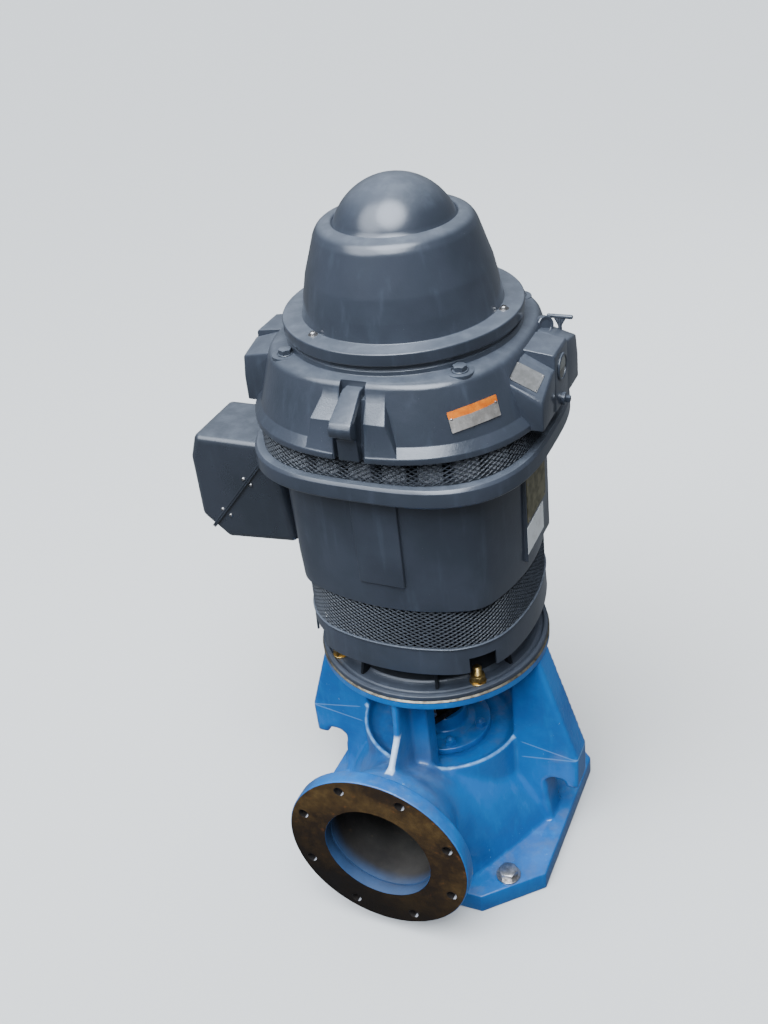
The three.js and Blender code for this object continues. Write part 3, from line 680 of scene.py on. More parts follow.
def labelPaper():
    finish = Finish("whiteLabel")
    cloud = finish.noise(60, 4, 0.6)
    stained = finish.step(cloud, 0.45, 0.75) * 0.5
    finish.colour = finish.mix(stained, srgb(232, 232, 228), srgb(196, 194, 186))
    finish.over(finish.mask(0.66, 0.72, 260, 4, 0.7) * 0.5, srgb(120, 120, 118))
    return finish.feed(Roughness=0.5 + cloud * 0.2)


def oilGlass():
    finish = Finish("oilGlass", IOR=1.5, Coat_Roughness=0.03)
    cloud = finish.noise(45, 3)
    half = finish.step(finish.axis("Z"), 1.0205, 1.0225)
    finish.colour = finish.mix(half, srgb(74, 66, 40), srgb(128, 128, 118))
    finish.over(cloud * 0.3, srgb(60, 56, 46))
    return finish.feed(Roughness=0.08 + cloud * 0.06, Coat_Weight=0.8 + cloud * 0.2)


whiteLabel = labelPaper()
glassLook = oilGlass()
bluePlate = blueEnamel("blueEnamelFlat", {**blue, "wear": 0.0, "creaseWearAndHighlight": 0.0})
print("finishes ready")


# Discharge head

head = {
    "voxel": 4.4, "rounds": 5, "passageVoxel": 3.5, "stationSteps": 4, "throatSteps": 6,
    "bore": 101.6, "mouthMargin": 8, "outletZ": 203, "faceY": -342, "flangeRadius": 171.5,
    "flangeDepth": 28.6, "holes": 8, "holeCircle": 149.25, "hole": 9.5, "plateTop": 42, "plateHalf": 251,
    "barrel": 158, "yokeUnder": 440, "yokeTop": 457, "yokeRadius": 212.5,
    # rows for eased: y first, then what the section function takes
    "saddle": [
        (-258, 118, 285, 5), (-209, 126, 284, 3.6), (-155, 155, 253.5, 3), (-111, 178, 252, 3),
        (-64, 198, 248, 3), (-40, 210, 230, 3), (-20, 221, 210, 3),
    ],
    "neck": [(-312, 116, 203), (-255, 116, 203), (-209, 100, 186), (-160, 80, 171)],
    "throat": [(-265, 101.6, 101.6, 203, 2), (-209, 86, 83, 181, 2), (-160, 84, 53, 154, 3)],
}
corners = ((1, -1), (-1, -1), (1, 1), (-1, 1))


def eased(rows, steps):
    # a smooth curve through the rows of a table, column by column
    table = []
    for i in range(len(rows) - 1):
        before, first = rows[max(i - 1, 0)], rows[i]
        last, after = rows[i + 1], rows[min(i + 2, len(rows) - 1)]
        for k in range(steps):
            t = k / steps
            table.append([
                0.5 * (2 * b + (c - a) * t + (2 * a - 5 * b + 4 * c - d) * t * t
                       + (3 * b - a - 3 * c + d) * t ** 3)
                for a, b, c, d in zip(before, first, last, after)
            ])
    return table + [list(rows[-1])]


def facing(radius, y, z, steps=64):
    return [(across, y, z + up) for across, up in ringPoints(radius, steps)]


def level(radius, z, steps=96):
    return [(x, y, z) for x, y in ringPoints(radius, steps)]


def archSection(y, half, crown, bow, steps=28):
    points = [(half, y, 28), (-half, y, 28)]
    for k in range(steps + 1):
        across = math.cos(math.pi * k / steps)
        rise = (crown - head["plateTop"]) * (1 - abs(across) ** bow)
        points.append((half * across, y, head["plateTop"] + rise))
    return points


def sliced(sections):
    return [hull(first + last) for first, last in zip(sections, sections[1:])]


def plateOutline(inset=0):
    half = head["plateHalf"]
    share = 1 - inset / half
    right = [(154, -half), (half, -160), (half, 160), (154, half)]
    left = [(-x, y) for x, y in right[::-1]]
    return [(x * share, y * share) for x, y in left + right]


def sideArm():
    hook = [(140, 30), (227, 30), (213, 146), (228, 158), (249, 158), (254, 141), (278, 141), (279, 215),
            (160, 200), (140, 200)]
    web = []
    for face in (-1, 1):
        web += [(x, face * 30, z) for x, z in ((279, 216), (253, 276), (238, 320), (226, 365), (209, 442))]
        web += [(152, face * 24, 442), (152, face * 24, 240), (152, face * 30, 196)]
    return [bar(hook, "Y", -30, 30), hull(web)]


def pillar(side):
    ring = []
    for z in (225, 444):
        for k in range(9):
            x = 36 * (k / 4 - 1)
            ring.append((x, side * math.sqrt(head["barrel"] ** 2 - x * x), z))
        ring += [(-36, side * 116.6, z), (36, side * 116.6, z)]
    return hull(ring)


def ontoOutlet(bm, y=head["faceY"]):
    # from upright on the ground to the axis of the outlet
    return moved(turned(bm, -90, "X"), 0, y, head["outletZ"])


mound = spun(softLine([
    (0, 20), (178, 20), (178, 44), (166, 56), (head["barrel"], 84, 20), (head["barrel"], 245), (0, 245),
]), 96)
neckSections = [facing(radius, y, z) for y, radius, z in eased(head["neck"], head["stationSteps"])]
saddleSections = [archSection(*row) for row in eased(head["saddle"], head["stationSteps"])]
lowerBody = castSkin(gathered(mound, *sliced(neckSections), *sliced(saddleSections)), head["voxel"], 2)
dish = spun(softLine([
    (0, 214), (97, 214), (99, 218), (130, 219, 14), (147, 232, 8), (150, 246), (150, 460), (0, 460),
]), 96)
lowerBody = carved(lowerBody, dish)
print("head barrel, neck and saddle")

hub = spun([(60, 0), (130, 0), (124, 4), (119, 12), (116.5, 26), (116, 60), (60, 60)], 96)
hub = ontoOutlet(hub, -314.4)
flangeStub = ontoOutlet(spun([(70, 0), (164, 0), (164, 22), (70, 22)], 96), -338)
ribFront = bar([
    (-150, 444), (-150, 236), (-240, 236), (-290, 290), (-290, 318), (-252, 322), (-214, 364), (-206, 444),
], "X", -6.5, 6.5)
ribRear = bar([(150, 444), (204, 444), (200, 364), (170, 300), (166, 60), (150, 60)], "X", -6.5, 6.5)
plateStub = bar(plateOutline(8), "Z", 18, 40)
yokeStub = tube(146, 203, 442, 455, 96)
arms = sideArm() + [mirrored(shape) for shape in sideArm()]
solids = [lowerBody, hub, flangeStub, ribFront, ribRear, plateStub, yokeStub, pillar(-1), pillar(1), *arms]
casting = castSkin(gathered(*solids), head["voxel"], head["rounds"])


def throatSection(y, halfWidth, halfHeight, z, power):
    points = []
    for across, depth, up in facing(1, 0, 0, 96):
        factor = pull(across, up, power)
        points.append((halfWidth * across * factor, y, z + halfHeight * up * factor))
    return points


def passageShape():
    throat = [throatSection(*row) for row in eased(head["throat"], head["throatSteps"])]
    bend = hull(throat[-1] + level(96, 195) + level(head["bore"], 101))
    outlet = disc(head["bore"], -350, -264, (0, 0, head["outletZ"]), "Y", 96)
    column = disc(head["bore"], -1, 150, steps=96)
    return castSkin(gathered(outlet, *sliced(throat), bend, column), head["passageVoxel"], 2)


passage = passageShape()
lining = BVHTree.FromBMesh(passage)
casting = carved(casting, passage, disc(60, 180, 230, steps=64))
for wall in casting.faces:  # the passage and its mouth are bare
    centre = wall.calc_center_median()
    reach = math.hypot(centre.x, centre.z - head["outletZ"])
    mouth = centre.y < -300 and reach < head["bore"] + head["mouthMargin"]
    if mouth or lining.find_nearest(centre)[3] < 0.15:
        wall.material_index = 1
headCasting = settle("headCasting", casting, [bluePaint, bore], ["discharge_head"], 50)
print("head casting", len(headCasting.data.polygons))

bolts = {
    # how far out, nut and washer for nutHead, turn of the first nut and of each next one, finish and slot
    "anchor": ((186, 186), (32, 46, 59, 23, 4), (8, 17), zinc, "zinc_steel"),
    "motor": ((132.5, 132.5), (24, 468, 482, 15, 3), (4, 23), brass, "brass_plated"),
    "housing": ((145, 139), (19, 1073.5, 1081.5, 12.2, 2.5), (10, 31), slateSmooth, "grey_paint"),
}


def boltDiscs(bolt, radius, low, high):
    across, along = bolts[bolt][0]
    return [disc(radius, low, high, (across * x, along * y, 0)) for x, y in corners]


plate = softened(bar(plateOutline(), "Z", 0, head["plateTop"]), 3.5, 3, 20)
plate = carved(plate, disc(head["bore"], -1, 60, steps=96), *boltDiscs("anchor", 11, -1, 60))
settle("basePlate", plate, [bluePlate])


def outletSpots():
    return [onCircle(head["holeCircle"], 360 * (k + 0.5) / head["holes"]) for k in range(head["holes"])]


def outletHoles(radius):
    tools = [disc(radius, -350, -300, (x, 0, head["outletZ"] + z), "Y", 32) for x, z in outletSpots()]
    return gathered(*tools)


rim, depth, inside = head["flangeRadius"], head["flangeDepth"], head["bore"]
flange = spunRing(softLine([
    (inside, 0.4), (rim, 0.4, 2.5), (rim, depth, 2.5), (inside + 6, depth), (inside, 20),
]), 160)
face = spunRing([(inside + 0.3, 0), (rim - 2, 0), (rim - 1.6, 0.5), (inside + 0.3, 0.5)], 160)
flange = carved(ontoOutlet(flange), outletHoles(head["hole"]))
for wall in flange.faces:
    centre = wall.calc_center_median()
    reach = math.hypot(centre.x, centre.z - head["outletZ"])
    atHole = abs(reach - head["holeCircle"]) < head["hole"] and abs(wall.normal.y) < 0.5
    if reach < head["bore"] + head["mouthMargin"]:
        wall.material_index = 1
    elif atHole and -341 < centre.y < -315:
        wall.material_index = 2
settle("dischargeFlange", flange, [bluePlate, bore, holeInside])
settle("dischargeFace", carved(ontoOutlet(face), outletHoles(head["hole"] + 0.4)), [rusty])
# rings at the hole mouths, in the hole finish with its painted glint
inner, outer = head["hole"] - 0.2, head["hole"] + 0.6
sleeves = []
for x, z in outletSpots():
    sleeves.append(moved(ontoOutlet(tube(inner, outer, 0.2, 8, 32)), x, 0, z))
settle("flangeHoleEdges", gathered(*sleeves), [holeInside])

under, top, reach = head["yokeUnder"], head["yokeTop"], head["yokeRadius"]
yokeRing = spunRing(softLine([
    (140, under), (reach, under, 3), (reach, top - 2.5), (reach - 2.1, top), (140, top),
]), 160)
settle("yokeFlange", carved(yokeRing, *boltDiscs("motor", 8.4, 430, 470)), [bluePlate])
joint = spunRing([
    (150, 456), (210.2, 456.4), (212.7, 454.4), (212.7, 455.6), (210.2, 458.2), (150, 458.2),
], 160)
settle("machinedJoint", joint, [machined])
print("head flanges")


def nutHead(flats, low, high, washer=0, washerHeight=3):
    shapes = [hexHead(flats, low, high)]
    if washer:
        under = low - washerHeight
        shapes.append(spun([
            (0, under), (washer - 0.6, under), (washer, under + 0.5), (washer, low - 0.5),
            (washer - 0.6, low), (0, low),
        ], 40))
    return shapes


def thread(radius, low, high, pitch=1.75):
    profile = [(0, low)]
    turns = int((high - low) / pitch)
    for k in range(turns):
        profile += [(radius * 0.9, low + pitch * k), (radius, low + pitch * (k + 0.5))]
    profile += [(radius * 0.86, low + pitch * turns), (radius * 0.7, high + 0.6), (0, high + 0.6)]
    return spun(profile, 24)


cornerNames = ("front_right", "front_left", "rear_right", "rear_left")
for i, (corner, (x, y)) in enumerate(zip(cornerNames, corners)):
    for bolt, ((across, along), nut, (first, onward), finish, slot) in bolts.items():
        shapes = [turned(shape, onward * i + first) for shape in nutHead(*nut)]
        if bolt == "motor":
            shapes += [thread(8, 482, 499), disc(8, 434, 470), *nutHead(24, 428.5, 439)]
        whole = moved(gathered(*shapes), across * x, along * y)
        settle(f"{bolt}Bolt_{corner}", whole, [finish], [f"{bolt}_bolt_{corner}"])

boxBody = spunRing(softLine([
    (20, 193), (59.3, 193), (59.3, 214.2), (89.5, 214.2), (92, 217, 2), (92, 229, 3),
    (62, 229, 8), (47, 233, 6), (44, 262, 3), (20, 262),
]), 96)
boxNuts = []
for k in range(6):
    for shape in (hexHead(19, 229, 239), thread(5.6, 239, 243.5, 1.5)):
        boxNuts.append(moved(turned(shape, 13 * k), *onCircle(76, 60 * k)))
settle("stuffingBox", gathered(boxBody, *boxNuts), [bluePlate], ["stuffing_box"])

glandPoints = []
for z in (268, 282):
    glandPoints += level(40, z, 48)
    for at in (-56, 56):
        glandPoints += [(x, y + at, z) for x, y, z in level(13, z, 32)]
studHoles = [disc(5.4, 200, 300, (0, y, 0)) for y in (56, -56)]
gland = carved(softened(hull(glandPoints), 1.6, 2, 50), disc(20, 200, 300, steps=48), *studHoles)
nose = tube(20, 30, 262.3, 269, 48)
settle("packingGland", gathered(gland, nose), [darkIron], ["packing_gland"])
for name, side in (("front", -1), ("rear", 1)):
    stud = gathered(thread(5, 229, 268, 1.5), thread(5, 282, 300, 1.5), *nutHead(17, 284, 292, 10, 1.6))
    settle("glandStud_" + name, moved(stud, 0, 56 * side), [steel], ["gland_stud_" + name])
shaft = spun([
    (0, 1), (17.5, 1), (19, 2.5), (19, 300), (18.6, 300.6), (18.6, 304), (19, 304.6), (19, 640), (0, 640),
], 64)
settle("headShaft", shaft, [steel], ["head_shaft"])
print("head fittings")


# Motor

motor = {
    "framePlan": (1.805, 0.327), "skirtPlan": (1.805, 0.65), "fins": 8, "cell": 14,
    "posts": 26, "postHalf": 19, "postFace": 219, "ductFace": 188,
}

footProfile = softLine([
    (100, 458.3), (209.4, 458.3), (210.5, 459.5), (210.5, 467, 2), (203, 469, 2), (200.5, 464.6, 1.5),
    (196, 464.6, 1.5), (193, 466.4, 1), (174, 465.8, 12), (148, 512, 30), (148, 651), (100, 651),
])
footBody = spunRing(footProfile, 128)
fins = []
for k in range(motor["fins"]):
    fin = softened(bar([(138, 463), (190, 463), (178, 515), (138, 515)], "Y", -3, 3), 1.2, 2)
    fins.append(turned(fin, 22.5 + 45 * k))
foot = gathered(footBody, *fins)
for side in foot.faces:
    if side.calc_center_median().z > 481:
        side.material_index = 1  # in the dark under the skirt
settle("motorFoot", foot, [slateShaded, paintedShade], ["motor_foot"])

skirt = squared(spunRing(softLine([
    (199, 517), (203, 517, 1), (201.2, 568), (203, 569.5), (203, 571.6, 0.8), (197, 572),
]), 160), motor["skirtPlan"])
gaps = [turned(moved(box((-60, -25, -30), (60, 25, 30)), 220, 0, 517), 45 + 90 * k) for k in range(4)]
settle("lowerSkirt", carved(skirt, *gaps), [slateSmooth], ["lower_skirt"])


def squarePath(half, plan, steps=720):
    # the squared outline by distance along it, for shares from 0 to 1
    points = [Vector((x, y)) * (half * pull(x, y, plan)) for x, y in ringPoints(1, steps)]
    points.append(points[0])
    lengths = [0]
    for first, last in zip(points, points[1:]):
        lengths.append(lengths[-1] + (last - first).length)

    def at(share):
        target = (share % 1) * lengths[-1]
        low, high = 0, steps
        while high - low > 1:
            middle = (low + high) // 2
            if lengths[middle] <= target:
                low = middle
            else:
                high = middle
        part = (target - lengths[low]) / (lengths[high] - lengths[low])
        return points[low].lerp(points[high], part)
    return at, lengths[-1]


def expandedMetal(half, plan, low, high, rows, strand=0.7, thickness=0.9):
    # diamonds from the cells of a grid that is wrapped round the outline
    path, length = squarePath(half, plan)
    columns = round(length / motor["cell"])
    bm = bmesh.new()
    bmesh.ops.create_grid(bm, x_segments=columns, y_segments=rows, size=0.5)
    for vert in bm.verts:
        point = path(vert.co.x + 0.5)
        vert.co = (point.x, point.y, low + (high - low) * (vert.co.y + 0.5))
    bmesh.ops.remove_doubles(bm, verts=bm.verts, dist=0.5)
    inner = [edge for edge in bm.edges if not edge.is_boundary]
    bmesh.ops.poke(bm, faces=bm.faces)
    bmesh.ops.dissolve_edges(bm, edges=inner, use_verts=False)
    holes = list(outward(bm).faces)
    bmesh.ops.inset_individual(bm, faces=holes, thickness=strand, depth=-thickness, use_even_offset=True)
    bmesh.ops.delete(bm, geom=holes, context="FACES_ONLY")
    bmesh.ops.solidify(bm, geom=outward(bm).faces, thickness=thickness)
    bmesh.ops.recalc_face_normals(bm, faces=bm.faces)
    return bm


lowerMesh = expandedMetal(199, motor["skirtPlan"], 572, 651, 10)
settle("lowerScreen", lowerMesh, [screenGrey], ["lower_screen"], 30)
upperMesh = expandedMetal(229, 2.9, 915.5, 956.5, 5)
settle("upperScreen", upperMesh, [screenGrey], ["upper_screen"], 30)
# a dark sheet in painted shade behind the lower screen
ductWall = tube(motor["ductFace"], motor["ductFace"] + 2, 573, 650, 96)
settle("lowerDuct", squared(ductWall, motor["skirtPlan"]), [paintedShade])
print("screens")

shell = squared(spun(softLine([
    (0, 651.2), (202.5, 651.2, 2), (204.5, 701), (205.5, 771), (207, 884), (207, 914), (0, 914),
]), 192), motor["framePlan"])
frontPad = softened(box((-31, -209, 704), (49, -150, 886)), 1.6, 3)
sidePad = softened(box((150, -52, 678), (207.3, 70, 886)), 1.2, 3)
settle("motorFrame", gathered(shell, frontPad, sidePad), [slateSmooth], ["motor_frame"])

bandProfile = softLine([
    (207.3, 884), (242.5, 884, 1.5), (244.5, 887, 2), (244, 909.5, 3), (240.5, 914.8, 1.5), (207.3, 915),
])
band = squared(spunRing(bandProfile, 192), [(905, 3), (915, 2.95)])
settle("frameBand", band, [slateSmooth], ["frame_band"])


def intakePosts():
    path, length = squarePath(motor["postFace"], 3)
    posts = []
    for k in range(motor["posts"]):
        points = []
        for side in (-1, 0, 1):
            outer = path((k + 0.5) / motor["posts"] + side * motor["postHalf"] / length)
            inner = outer * (motor["ductFace"] / motor["postFace"])
            points += [(spot.x, spot.y, z) for spot in (outer, inner) for z in (915, 950)]
        posts.append(hull(points))
    return gathered(*posts)


# the core of the intake, in painted shade behind the posts
intake = squared(spun([(0, 914.5), (190, 914.5), (190, 957), (0, 957)], 160), 3)
settle("airIntake", intake, [paintedShade], ["air_intake_ring"])
settle("airIntakePosts", intakePosts(), [castAluminiumLit])
print("motor frame")

housingProfile = softLine([
    (0, 957), (242, 957, 1), (247.4, 959, 2), (248, 968, 4), (234.5, 983, 5), (205.5, 1068.5, 15),
    (188.5, 1074, 1.5), (187.5, 1081, 1.5), (184, 1081.5, 0.5), (184, 1090), (0, 1090),
])
housingBody = squared(spun(housingProfile, 224), [
    (957, 2.4), (967, 2.35), (975, 2.38), (983, 2.42), (1048, 2.6), (1058, 2.65), (1071, 2.6), (1074, 2.03),
    (1081, 2), (1090, 2),
])


def frontLug():
    # a finger between two wedges
    finger = bar([
        (-188, 1061), (-188, 959), (-247, 959), (-248, 996), (-256, 1002), (-265, 1009), (-267, 1016),
        (-267, 1022), (-262, 1030), (-212, 1061),
    ], "X", -14.5, 14.5)
    for vert in finger.verts:
        vert.co.x *= 1 + max(-vert.co.y - 212, 0) * 0.0056
    wedge = (
        (20, -188, 1052), (50, -188, 1052), (20, -205, 1051), (50, -205, 1051), (26, -238, 1021),
        (61, -238, 1021), (24, -247, 959), (79, -239, 959), (24, -188, 959), (79, -188, 959),
    )
    wedges = [softened(hull([(side * x, y, z) for x, y, z in wedge]), 1.4, 2, 24) for side in (-1, 1)]
    return [softened(finger, 2.4, 3, 14), *wedges]


cheek = ((200, 51, 1060), (255, 45, 1031), (255, 92, 1007.6), (200, 98, 1036.6))
rearCheek = ((200, 45, 1061), (255, 40, 1047), (255, 90, 1035), (200, 97, 1048))


def sideBlock():
    crown = hull([(x, y, z) for y in (-33, 33) for x, z in (
        (170, 1064), (193, 1063.5), (254, 1055.5), (257, 1051), (257, 958), (170, 958),
    )])
    shapes = [softened(crown, 4, 4, 24)]
    for face, corner in ((-1, cheek), (1, rearCheek)):
        flank = hull([(x, face * y, z) for x, y, z in (
            *corner, (256.5, 30, 1031), (200, 30, 1060), (256, 96, 1000), (256, 97, 958), (170, 98, 958),
            (170, 98, 1035), (170, 30, 958), (256, 30, 958),
        )])
        shapes.append(softened(flank, 3, 3, 24))
    return shapes


def onCheek(bm):
    # from flat on the ground to where the plate sits on the near cheek
    top, outer, low, inner = (Vector((x, -y, z)) for x, y, z in cheek)
    along = (outer - top).normalized()
    normal = (inner - top).cross(along).normalized()
    turn = Matrix((along, normal.cross(along), normal)).transposed()
    return moved(rotated(bm, turn), *((top + outer + low + inner) / 4 - along * 3.5))


def lugNotch():
    return [softened(box((-21, -240, 1047), (21, -199, 1090)), 1, 2),
            box((-27, -260, 950), (27, -235, 992))]


def bothWays(make):
    # a set of shapes and the same set on the other side of the motor
    return make() + [turned(shape, 180) for shape in make()]


housing = carved(housingBody, *bothWays(lugNotch))
bosses = [softened(boss, 1.5, 2) for boss in boltDiscs("housing", 21.5, 1050, 1072.6)]
housing = carved(housing, *bosses, *bothWays(frontLug), *bothWays(sideBlock), operation="UNION")
platePocket = onCheek(box((-23.5, -17.5, 0.2), (23.5, 17.5, 24)))
housing = carved(housing, *boltDiscs("housing", 13.6, 1071, 1100), platePocket)
for top in housing.faces:  # the wedges beside the fingers are rough on top
    centre = top.calc_center_median()
    onWedge = 19 < abs(centre.x) < 62 and 203 < abs(centre.y) < 239 and 1019 < centre.z < 1053
    if onWedge and top.normal.z > 0.55:
        top.material_index = 1
settle("bearingHousing", housing, [slateCast, slateRough], ["bearing_housing"], 40)
print("bearing housing")

canopy = {
    "dome": 102.3, "domeCentre": 1212.8, "domeStart": 23.2, "domeSteps": 24,
    "screws": (-122, 0, 120), "screwCircle": 168,
}
capProfile = softLine([
    (0, 1090.2), (190.5, 1090.2, 1), (192.5, 1092.5, 1), (192.5, 1111, 3), (160, 1111, 2), (155, 1140, 30),
    (147.5, 1175, 60), (137.5, 1205, 60), (127.5, 1236, 30), (119, 1250, 20), (98.5, 1254, 6),
], steps=6)
for k in range(canopy["domeSteps"] + 1):
    climb = canopy["domeStart"] + (90 - canopy["domeStart"]) * k / canopy["domeSteps"]
    across, up = onCircle(canopy["dome"], climb)
    capProfile.append((across, canopy["domeCentre"] + up))
settle("canopyCap", spun(capProfile, 192), [slateSmooth], ["canopy_cap"])
screws = []
for azimuth in canopy["screws"]:
    washer = spun([(0, 1110.5), (7.6, 1110.5), (8, 1111.1), (7.6, 1112), (0, 1112)], 32)
    pan = moved(turned(panHead(5.4, 4.4), azimuth * 0.4), 0, 0, 1111.9)
    screws += [moved(shape, *onCircle(canopy["screwCircle"], azimuth)) for shape in (washer, pan)]
settle("canopyScrews", gathered(*screws), [zinc])


# Conduit box

conduit = {
    "half": 72, "round": 15, "split": ((-251, 841), (-398, 663)), "splitLength": 231,
    "lip": 4.5, "lipThickness": 3,
    "centres": [(-394, 841), (-406, 806), (-406.6, 691), (-366, 655), (-240, 666), (-250, 760), (-270, 841)],
}


def pillow():
    # every edge rounded: balls at the corners, wrapped
    radius = conduit["round"]
    points = []
    for x, z in conduit["centres"]:
        for side in (-1, 1):
            ball = bmesh.new()
            bmesh.ops.create_uvsphere(ball, u_segments=32, v_segments=16, radius=radius)
            points += [vert.co + Vector((x, side * (conduit["half"] - radius), z)) for vert in ball.verts]
            ball.free()
    return hull(points)


def splitAxis():
    (x1, z1), (x2, z2) = conduit["split"]
    along = Vector((x1 - x2, 0, z1 - z2)).normalized()
    return Vector(((x1 + x2) / 2, 0, (z1 + z2) / 2)), along, Vector((-along.z, 0, along.x))


def boxHalf(side):
    # one half of the box, cut on the slant, with its lip strip
    middle, along, across = splitAxis()
    bm = pillow()
    cut = bmesh.ops.bisect_plane(bm, geom=bm.verts[:] + bm.edges[:] + bm.faces[:], clear_outer=True,
                                 plane_co=middle + across * side * 0.3, plane_no=-across * side)
    rim = [part for part in cut["geom_cut"] if isinstance(part, bmesh.types.BMEdge)]
    bmesh.ops.edgeloop_fill(bm, edges=rim)
    strip = bmesh.new()
    size = (conduit["splitLength"] + 2 * conduit["lip"], 2 * (conduit["half"] + conduit["lip"]),
            conduit["lipThickness"], 1)
    bmesh.ops.create_cube(strip, size=1, matrix=Matrix.Diagonal(size))
    upright = [edge for edge in strip.edges if abs(edge.verts[0].co.z - edge.verts[1].co.z) > 1]
    bmesh.ops.bevel(strip, geom=upright, offset=14, segments=5, profile=0.5, affect="EDGES", material=-1)
    strip = rotated(softened(strip, 0.9, 2), Matrix((along, (0, 1, 0), across)).transposed())
    return [bm, moved(strip, *(middle + across * side * (conduit["lipThickness"] / 2 + 0.15)))]


def lipScrews(spots):
    shapes = []
    for x, z in spots:
        for face in (-1, 1):
            pan = turned(panHead(3.6, 2.8), 20 + x)
            shapes.append(moved(turned(pan, 90 * -face, "X"), x, face * (conduit["half"] + 0.2), z))
    return shapes


frameCut = spun([(0, 600), (205, 600), (204.8, 701), (205.8, 771), (207.5, 884), (0, 890)], 192)
squared(frameCut, motor["framePlan"])
cover, coverLip = boxHalf(1)
base, baseLip = boxHalf(-1)
settle("conduitCover", gathered(cover, coverLip), [slateBox], ["conduit_box_cover"], 40)
neckBlock = softened(box((-262, -50, 672), (-180, 50, 820)), 6, 3)
base = carved(carved(base, neckBlock, operation="UNION"), frameCut)
settle("conduitBase", gathered(base, baseLip), [slateBox], ["conduit_box_base"], 40)
boxScrews = lipScrews([(-313.3, 778.3), (-370.6, 705.2), (-299.9, 767.7), (-355.7, 694.4)])
settle("conduitScrews", gathered(*boxScrews), [zinc])
print("conduit box")


def onBlock(z, *shapes):
    # from upright on the ground to the outer face of the near block
    return moved(turned(gathered(*shapes), 90, "Y"), 257.2, 0, z)


glassRim = spunRing(softLine([(18, 0), (22, 0, 0.4), (22, 2.2, 1), (19.5, 3.2, 0.8), (18, 2.4)]), 64)
glassLens = painted(spun([(0, 0), (18.2, 0), (18.2, 1.4), (9, 2.2), (0, 2.5)], 64), 1)
sight = onBlock(1022, glassRim, glassLens)
settle("oilSightGlass", sight, [slateSmooth, glassLook], ["oil_sight_glass"])
plugBody = spun(softLine([(0, 0), (10.5, 0), (10.5, 6, 1.2), (0, 6)]), 40)
plugSquare = softened(box((-4.5, -4.5, 5), (4.5, 4.5, 13)), 0.8, 2)
plug = onBlock(967, plugBody, plugSquare)
settle("oilDrainPlug", plug, [slateSmooth], ["oil_drain_plug"])
fillerShape = spun(softLine([
    (0, -34), (9, -34), (9, -12, 2), (14.5, -12), (16, -10.5), (16, -1.5, 1), (14.4, 0, 0.8),
    (11, -0.6, 0.6), (10, -1.4), (0, -1.4),
]), 64)
fillerLift, fillerSwing = 0.25, -0.6  # radians above the level and round from the block
fillerShape = turned(turned(fillerShape, 90 - math.degrees(fillerLift), "Y"), math.degrees(fillerSwing))
settle("oilFiller", moved(fillerShape, 213, 68, 1056), [slateSmooth], ["oil_filler"])
stem = spun(softLine([(0, 1014), (5, 1014), (5, 1032, 1), (3.2, 1036, 3), (3.2, 1064), (0, 1064)]), 32)
webPoints = [(x, y, z) for y in (-2.5, 2.5) for x, z in ((-11, 1064), (11, 1064), (-3, 1049), (3, 1049))]
web = softened(hull(webPoints), 1.2, 2)
crossBar = spun(softLine([(0, -21), (3.5, -21, 1.6), (3.5, 21, 1.6), (0, 21)]), 32)
handle = moved(gathered(stem, web, moved(turned(crossBar, 90, "Y"), 0, 0, 1064.5)), 229.5, 88)
settle("fillerHandle", handle, [slateSmooth], ["filler_handle"])


def rivet(radius):
    return spun([
        (0, -0.5), (radius, -0.5), (radius, 0.2), (radius * 0.8, 0.8), (radius * 0.4, 1.15), (0, 1.25),
    ], 20)


def meshesOf(node):
    return [obj for obj in bpy.data.objects if obj.type == "MESH" and obj.name.split(".")[0] == node]


def onWallPlate(bm, x, y, z):
    # set square on the curved plate of the housing wall, where a level line to the axis meets it
    wall = bmesh.new()
    for obj in meshesOf("bracket_plate"):
        wall.from_mesh(obj.data)
        wall.transform(Matrix.Scale(1 / mm, 4) @ obj.matrix_world)
    surface = BVHTree.FromBMesh(wall)
    wall.free()
    at, normal = surface.ray_cast((x * 1.2, y * 1.2, z), (-x, -y, 0))[:2]
    return moved(rotated(bm, normal.to_track_quat("Z", "Y").to_matrix()), *at)


rivets = [moved(turned(rivet(2.4), 90, "Y"), 208.4, y, z) for y in (-42, 44) for z in (760, 826)]
rivets += [onCheek(moved(rivet(1.5), 20.5 * x, 14.5 * y, 1.3)) for x, y in corners]
rivets += [onWallPlate(rivet(2.0), *spot) for spot in ((148.2, -191.9, 1017.5), (198.2, -135.2, 1023.1))]
settle("plateRivets", gathered(*rivets), [zinc])
plateFinishes = {
    "nameplate": tanPlate, "side_label": whiteLabel,
    "bracket_plate": stripedPlate, "block_plate": silverPlate,
}
for node, finish in plateFinishes.items():
    for obj in meshesOf(node):
        obj.material_slots[0].material = finish
print("plates")


# Studio

studio = {
    "floorHalf": 40,  # metres
    # soft patches of sky overhead and behind the camera, brighter on the right: direction and strength
    "patches": (((0.08, -0.46, 0.885), 14), ((-0.36, -0.56, 0.745), 6.5)),
    "patchEdges": (0.85, 0.98), "base": 0.2,
    "lens": 41.94, "sensor": 36, "cameraAt": (0.7421, -1.6051, 1.8501),
    "heading": 27.07, "tilt": 57.46, "roll": -6.947,
}

floorShape = bmesh.new()
bmesh.ops.create_grid(floorShape, x_segments=1, y_segments=1, size=studio["floorHalf"])
floor = addObject("studioFloor", takeMesh(floorShape, "studioFloor"))
floor.data.materials.append(Finish("paleFloor", Base_Color=srgb(214, 212, 206), Roughness=0.8).material)
floor.visible_glossy = False
floor.visible_diffuse = False  # the paint keeps its dark undersides, as over dark ground

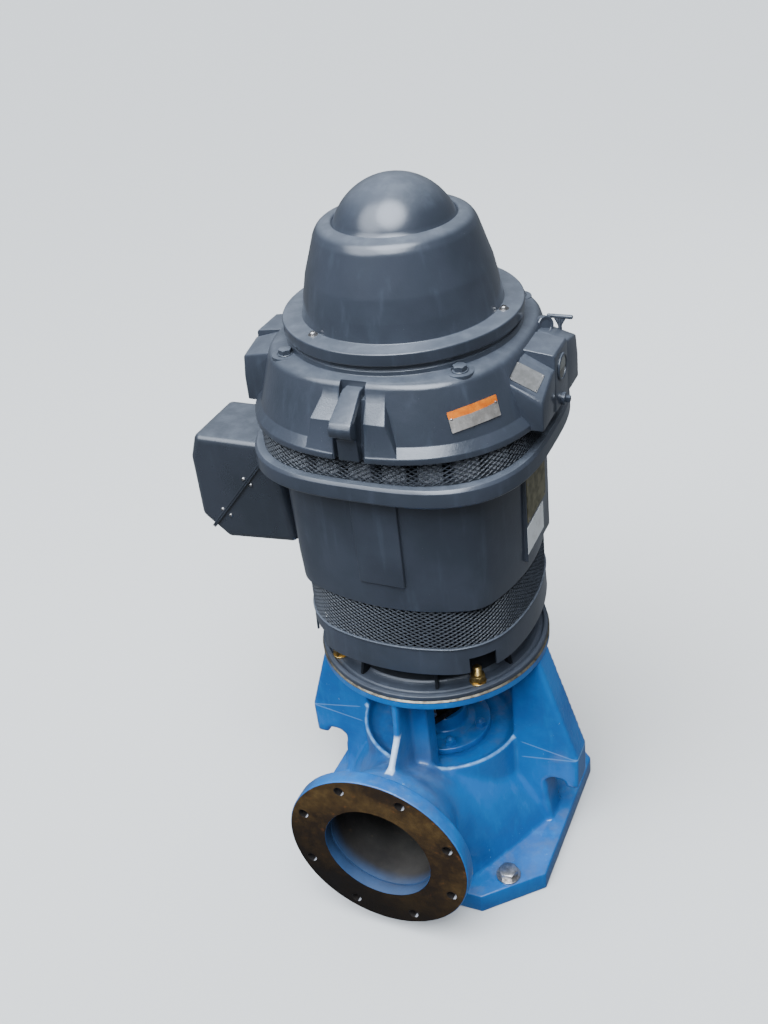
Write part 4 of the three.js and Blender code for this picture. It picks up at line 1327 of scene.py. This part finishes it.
world = bpy.data.worlds.new("studioWorld")
world.use_nodes = True
sky = world.node_tree
direction = sky.nodes.new("ShaderNodeTexCoord").outputs["Generated"]
glow = sky.nodes.new("ShaderNodeMath")
glow.operation = "MAXIMUM"
for i, (aim, peak) in enumerate(studio["patches"]):
    toward = sky.nodes.new("ShaderNodeVectorMath")
    toward.operation = "DOT_PRODUCT"
    toward.inputs[1].default_value = aim
    patch = sky.nodes.new("ShaderNodeMapRange")
    patch.interpolation_type = "SMOOTHSTEP"
    patch.inputs["From Min"].default_value, patch.inputs["From Max"].default_value = studio["patchEdges"]
    patch.inputs["To Min"].default_value = studio["base"]
    patch.inputs["To Max"].default_value = peak
    sky.links.new(direction, toward.inputs[0])
    sky.links.new(toward.outputs["Value"], patch.inputs["Value"])
    sky.links.new(patch.outputs[0], glow.inputs[i])
sky.links.new(glow.outputs[0], sky.nodes["Background"].inputs["Strength"])
sky.nodes["Background"].inputs["Color"].default_value = (0.8, 0.88, 1.0, 1)
scene.world = world


def softLight(name, at, height, size, power, colour):
    light = bpy.data.lights.new(name, "AREA")
    light.size = size
    light.energy = power
    light.color = colour
    lamp = addObject(name, light)
    lamp.visible_glossy = False  # only the sky is mirrored in the paint
    aim = (Vector((0, 0, height)) - Vector(at)).to_track_quat("-Z", "Y")
    lamp.matrix_world = Matrix.Translation(at) @ aim.to_matrix().to_4x4()


softLight("skyLight", (-0.3, 0.3, 3.6), 0.6, 3.0, 64, (0.93, 0.96, 1.0))
softLight("keyLight", (-1.9, -2.3, 2.9), 0.6, 2.2, 8, (1.0, 0.98, 0.96))
softLight("fillLight", (2.8, -1.4, 1.7), 0.5, 2.0, 2.5, (0.9, 0.95, 1.0))
softLight("backLight", (1.0, 3.0, 2.0), 0.6, 2.5, 14, (0.93, 0.96, 1.0))

lens = bpy.data.cameras.new("photoLens")
lens.lens = studio["lens"]
lens.sensor_width = studio["sensor"]
camera = addObject("photoCamera", lens)
camera.matrix_world = Matrix.Translation(studio["cameraAt"])
for part, axis in (("heading", "Z"), ("tilt", "X"), ("roll", "Z")):
    camera.matrix_world = camera.matrix_world @ Matrix.Rotation(math.radians(studio[part]), 4, axis)
scene.camera = camera
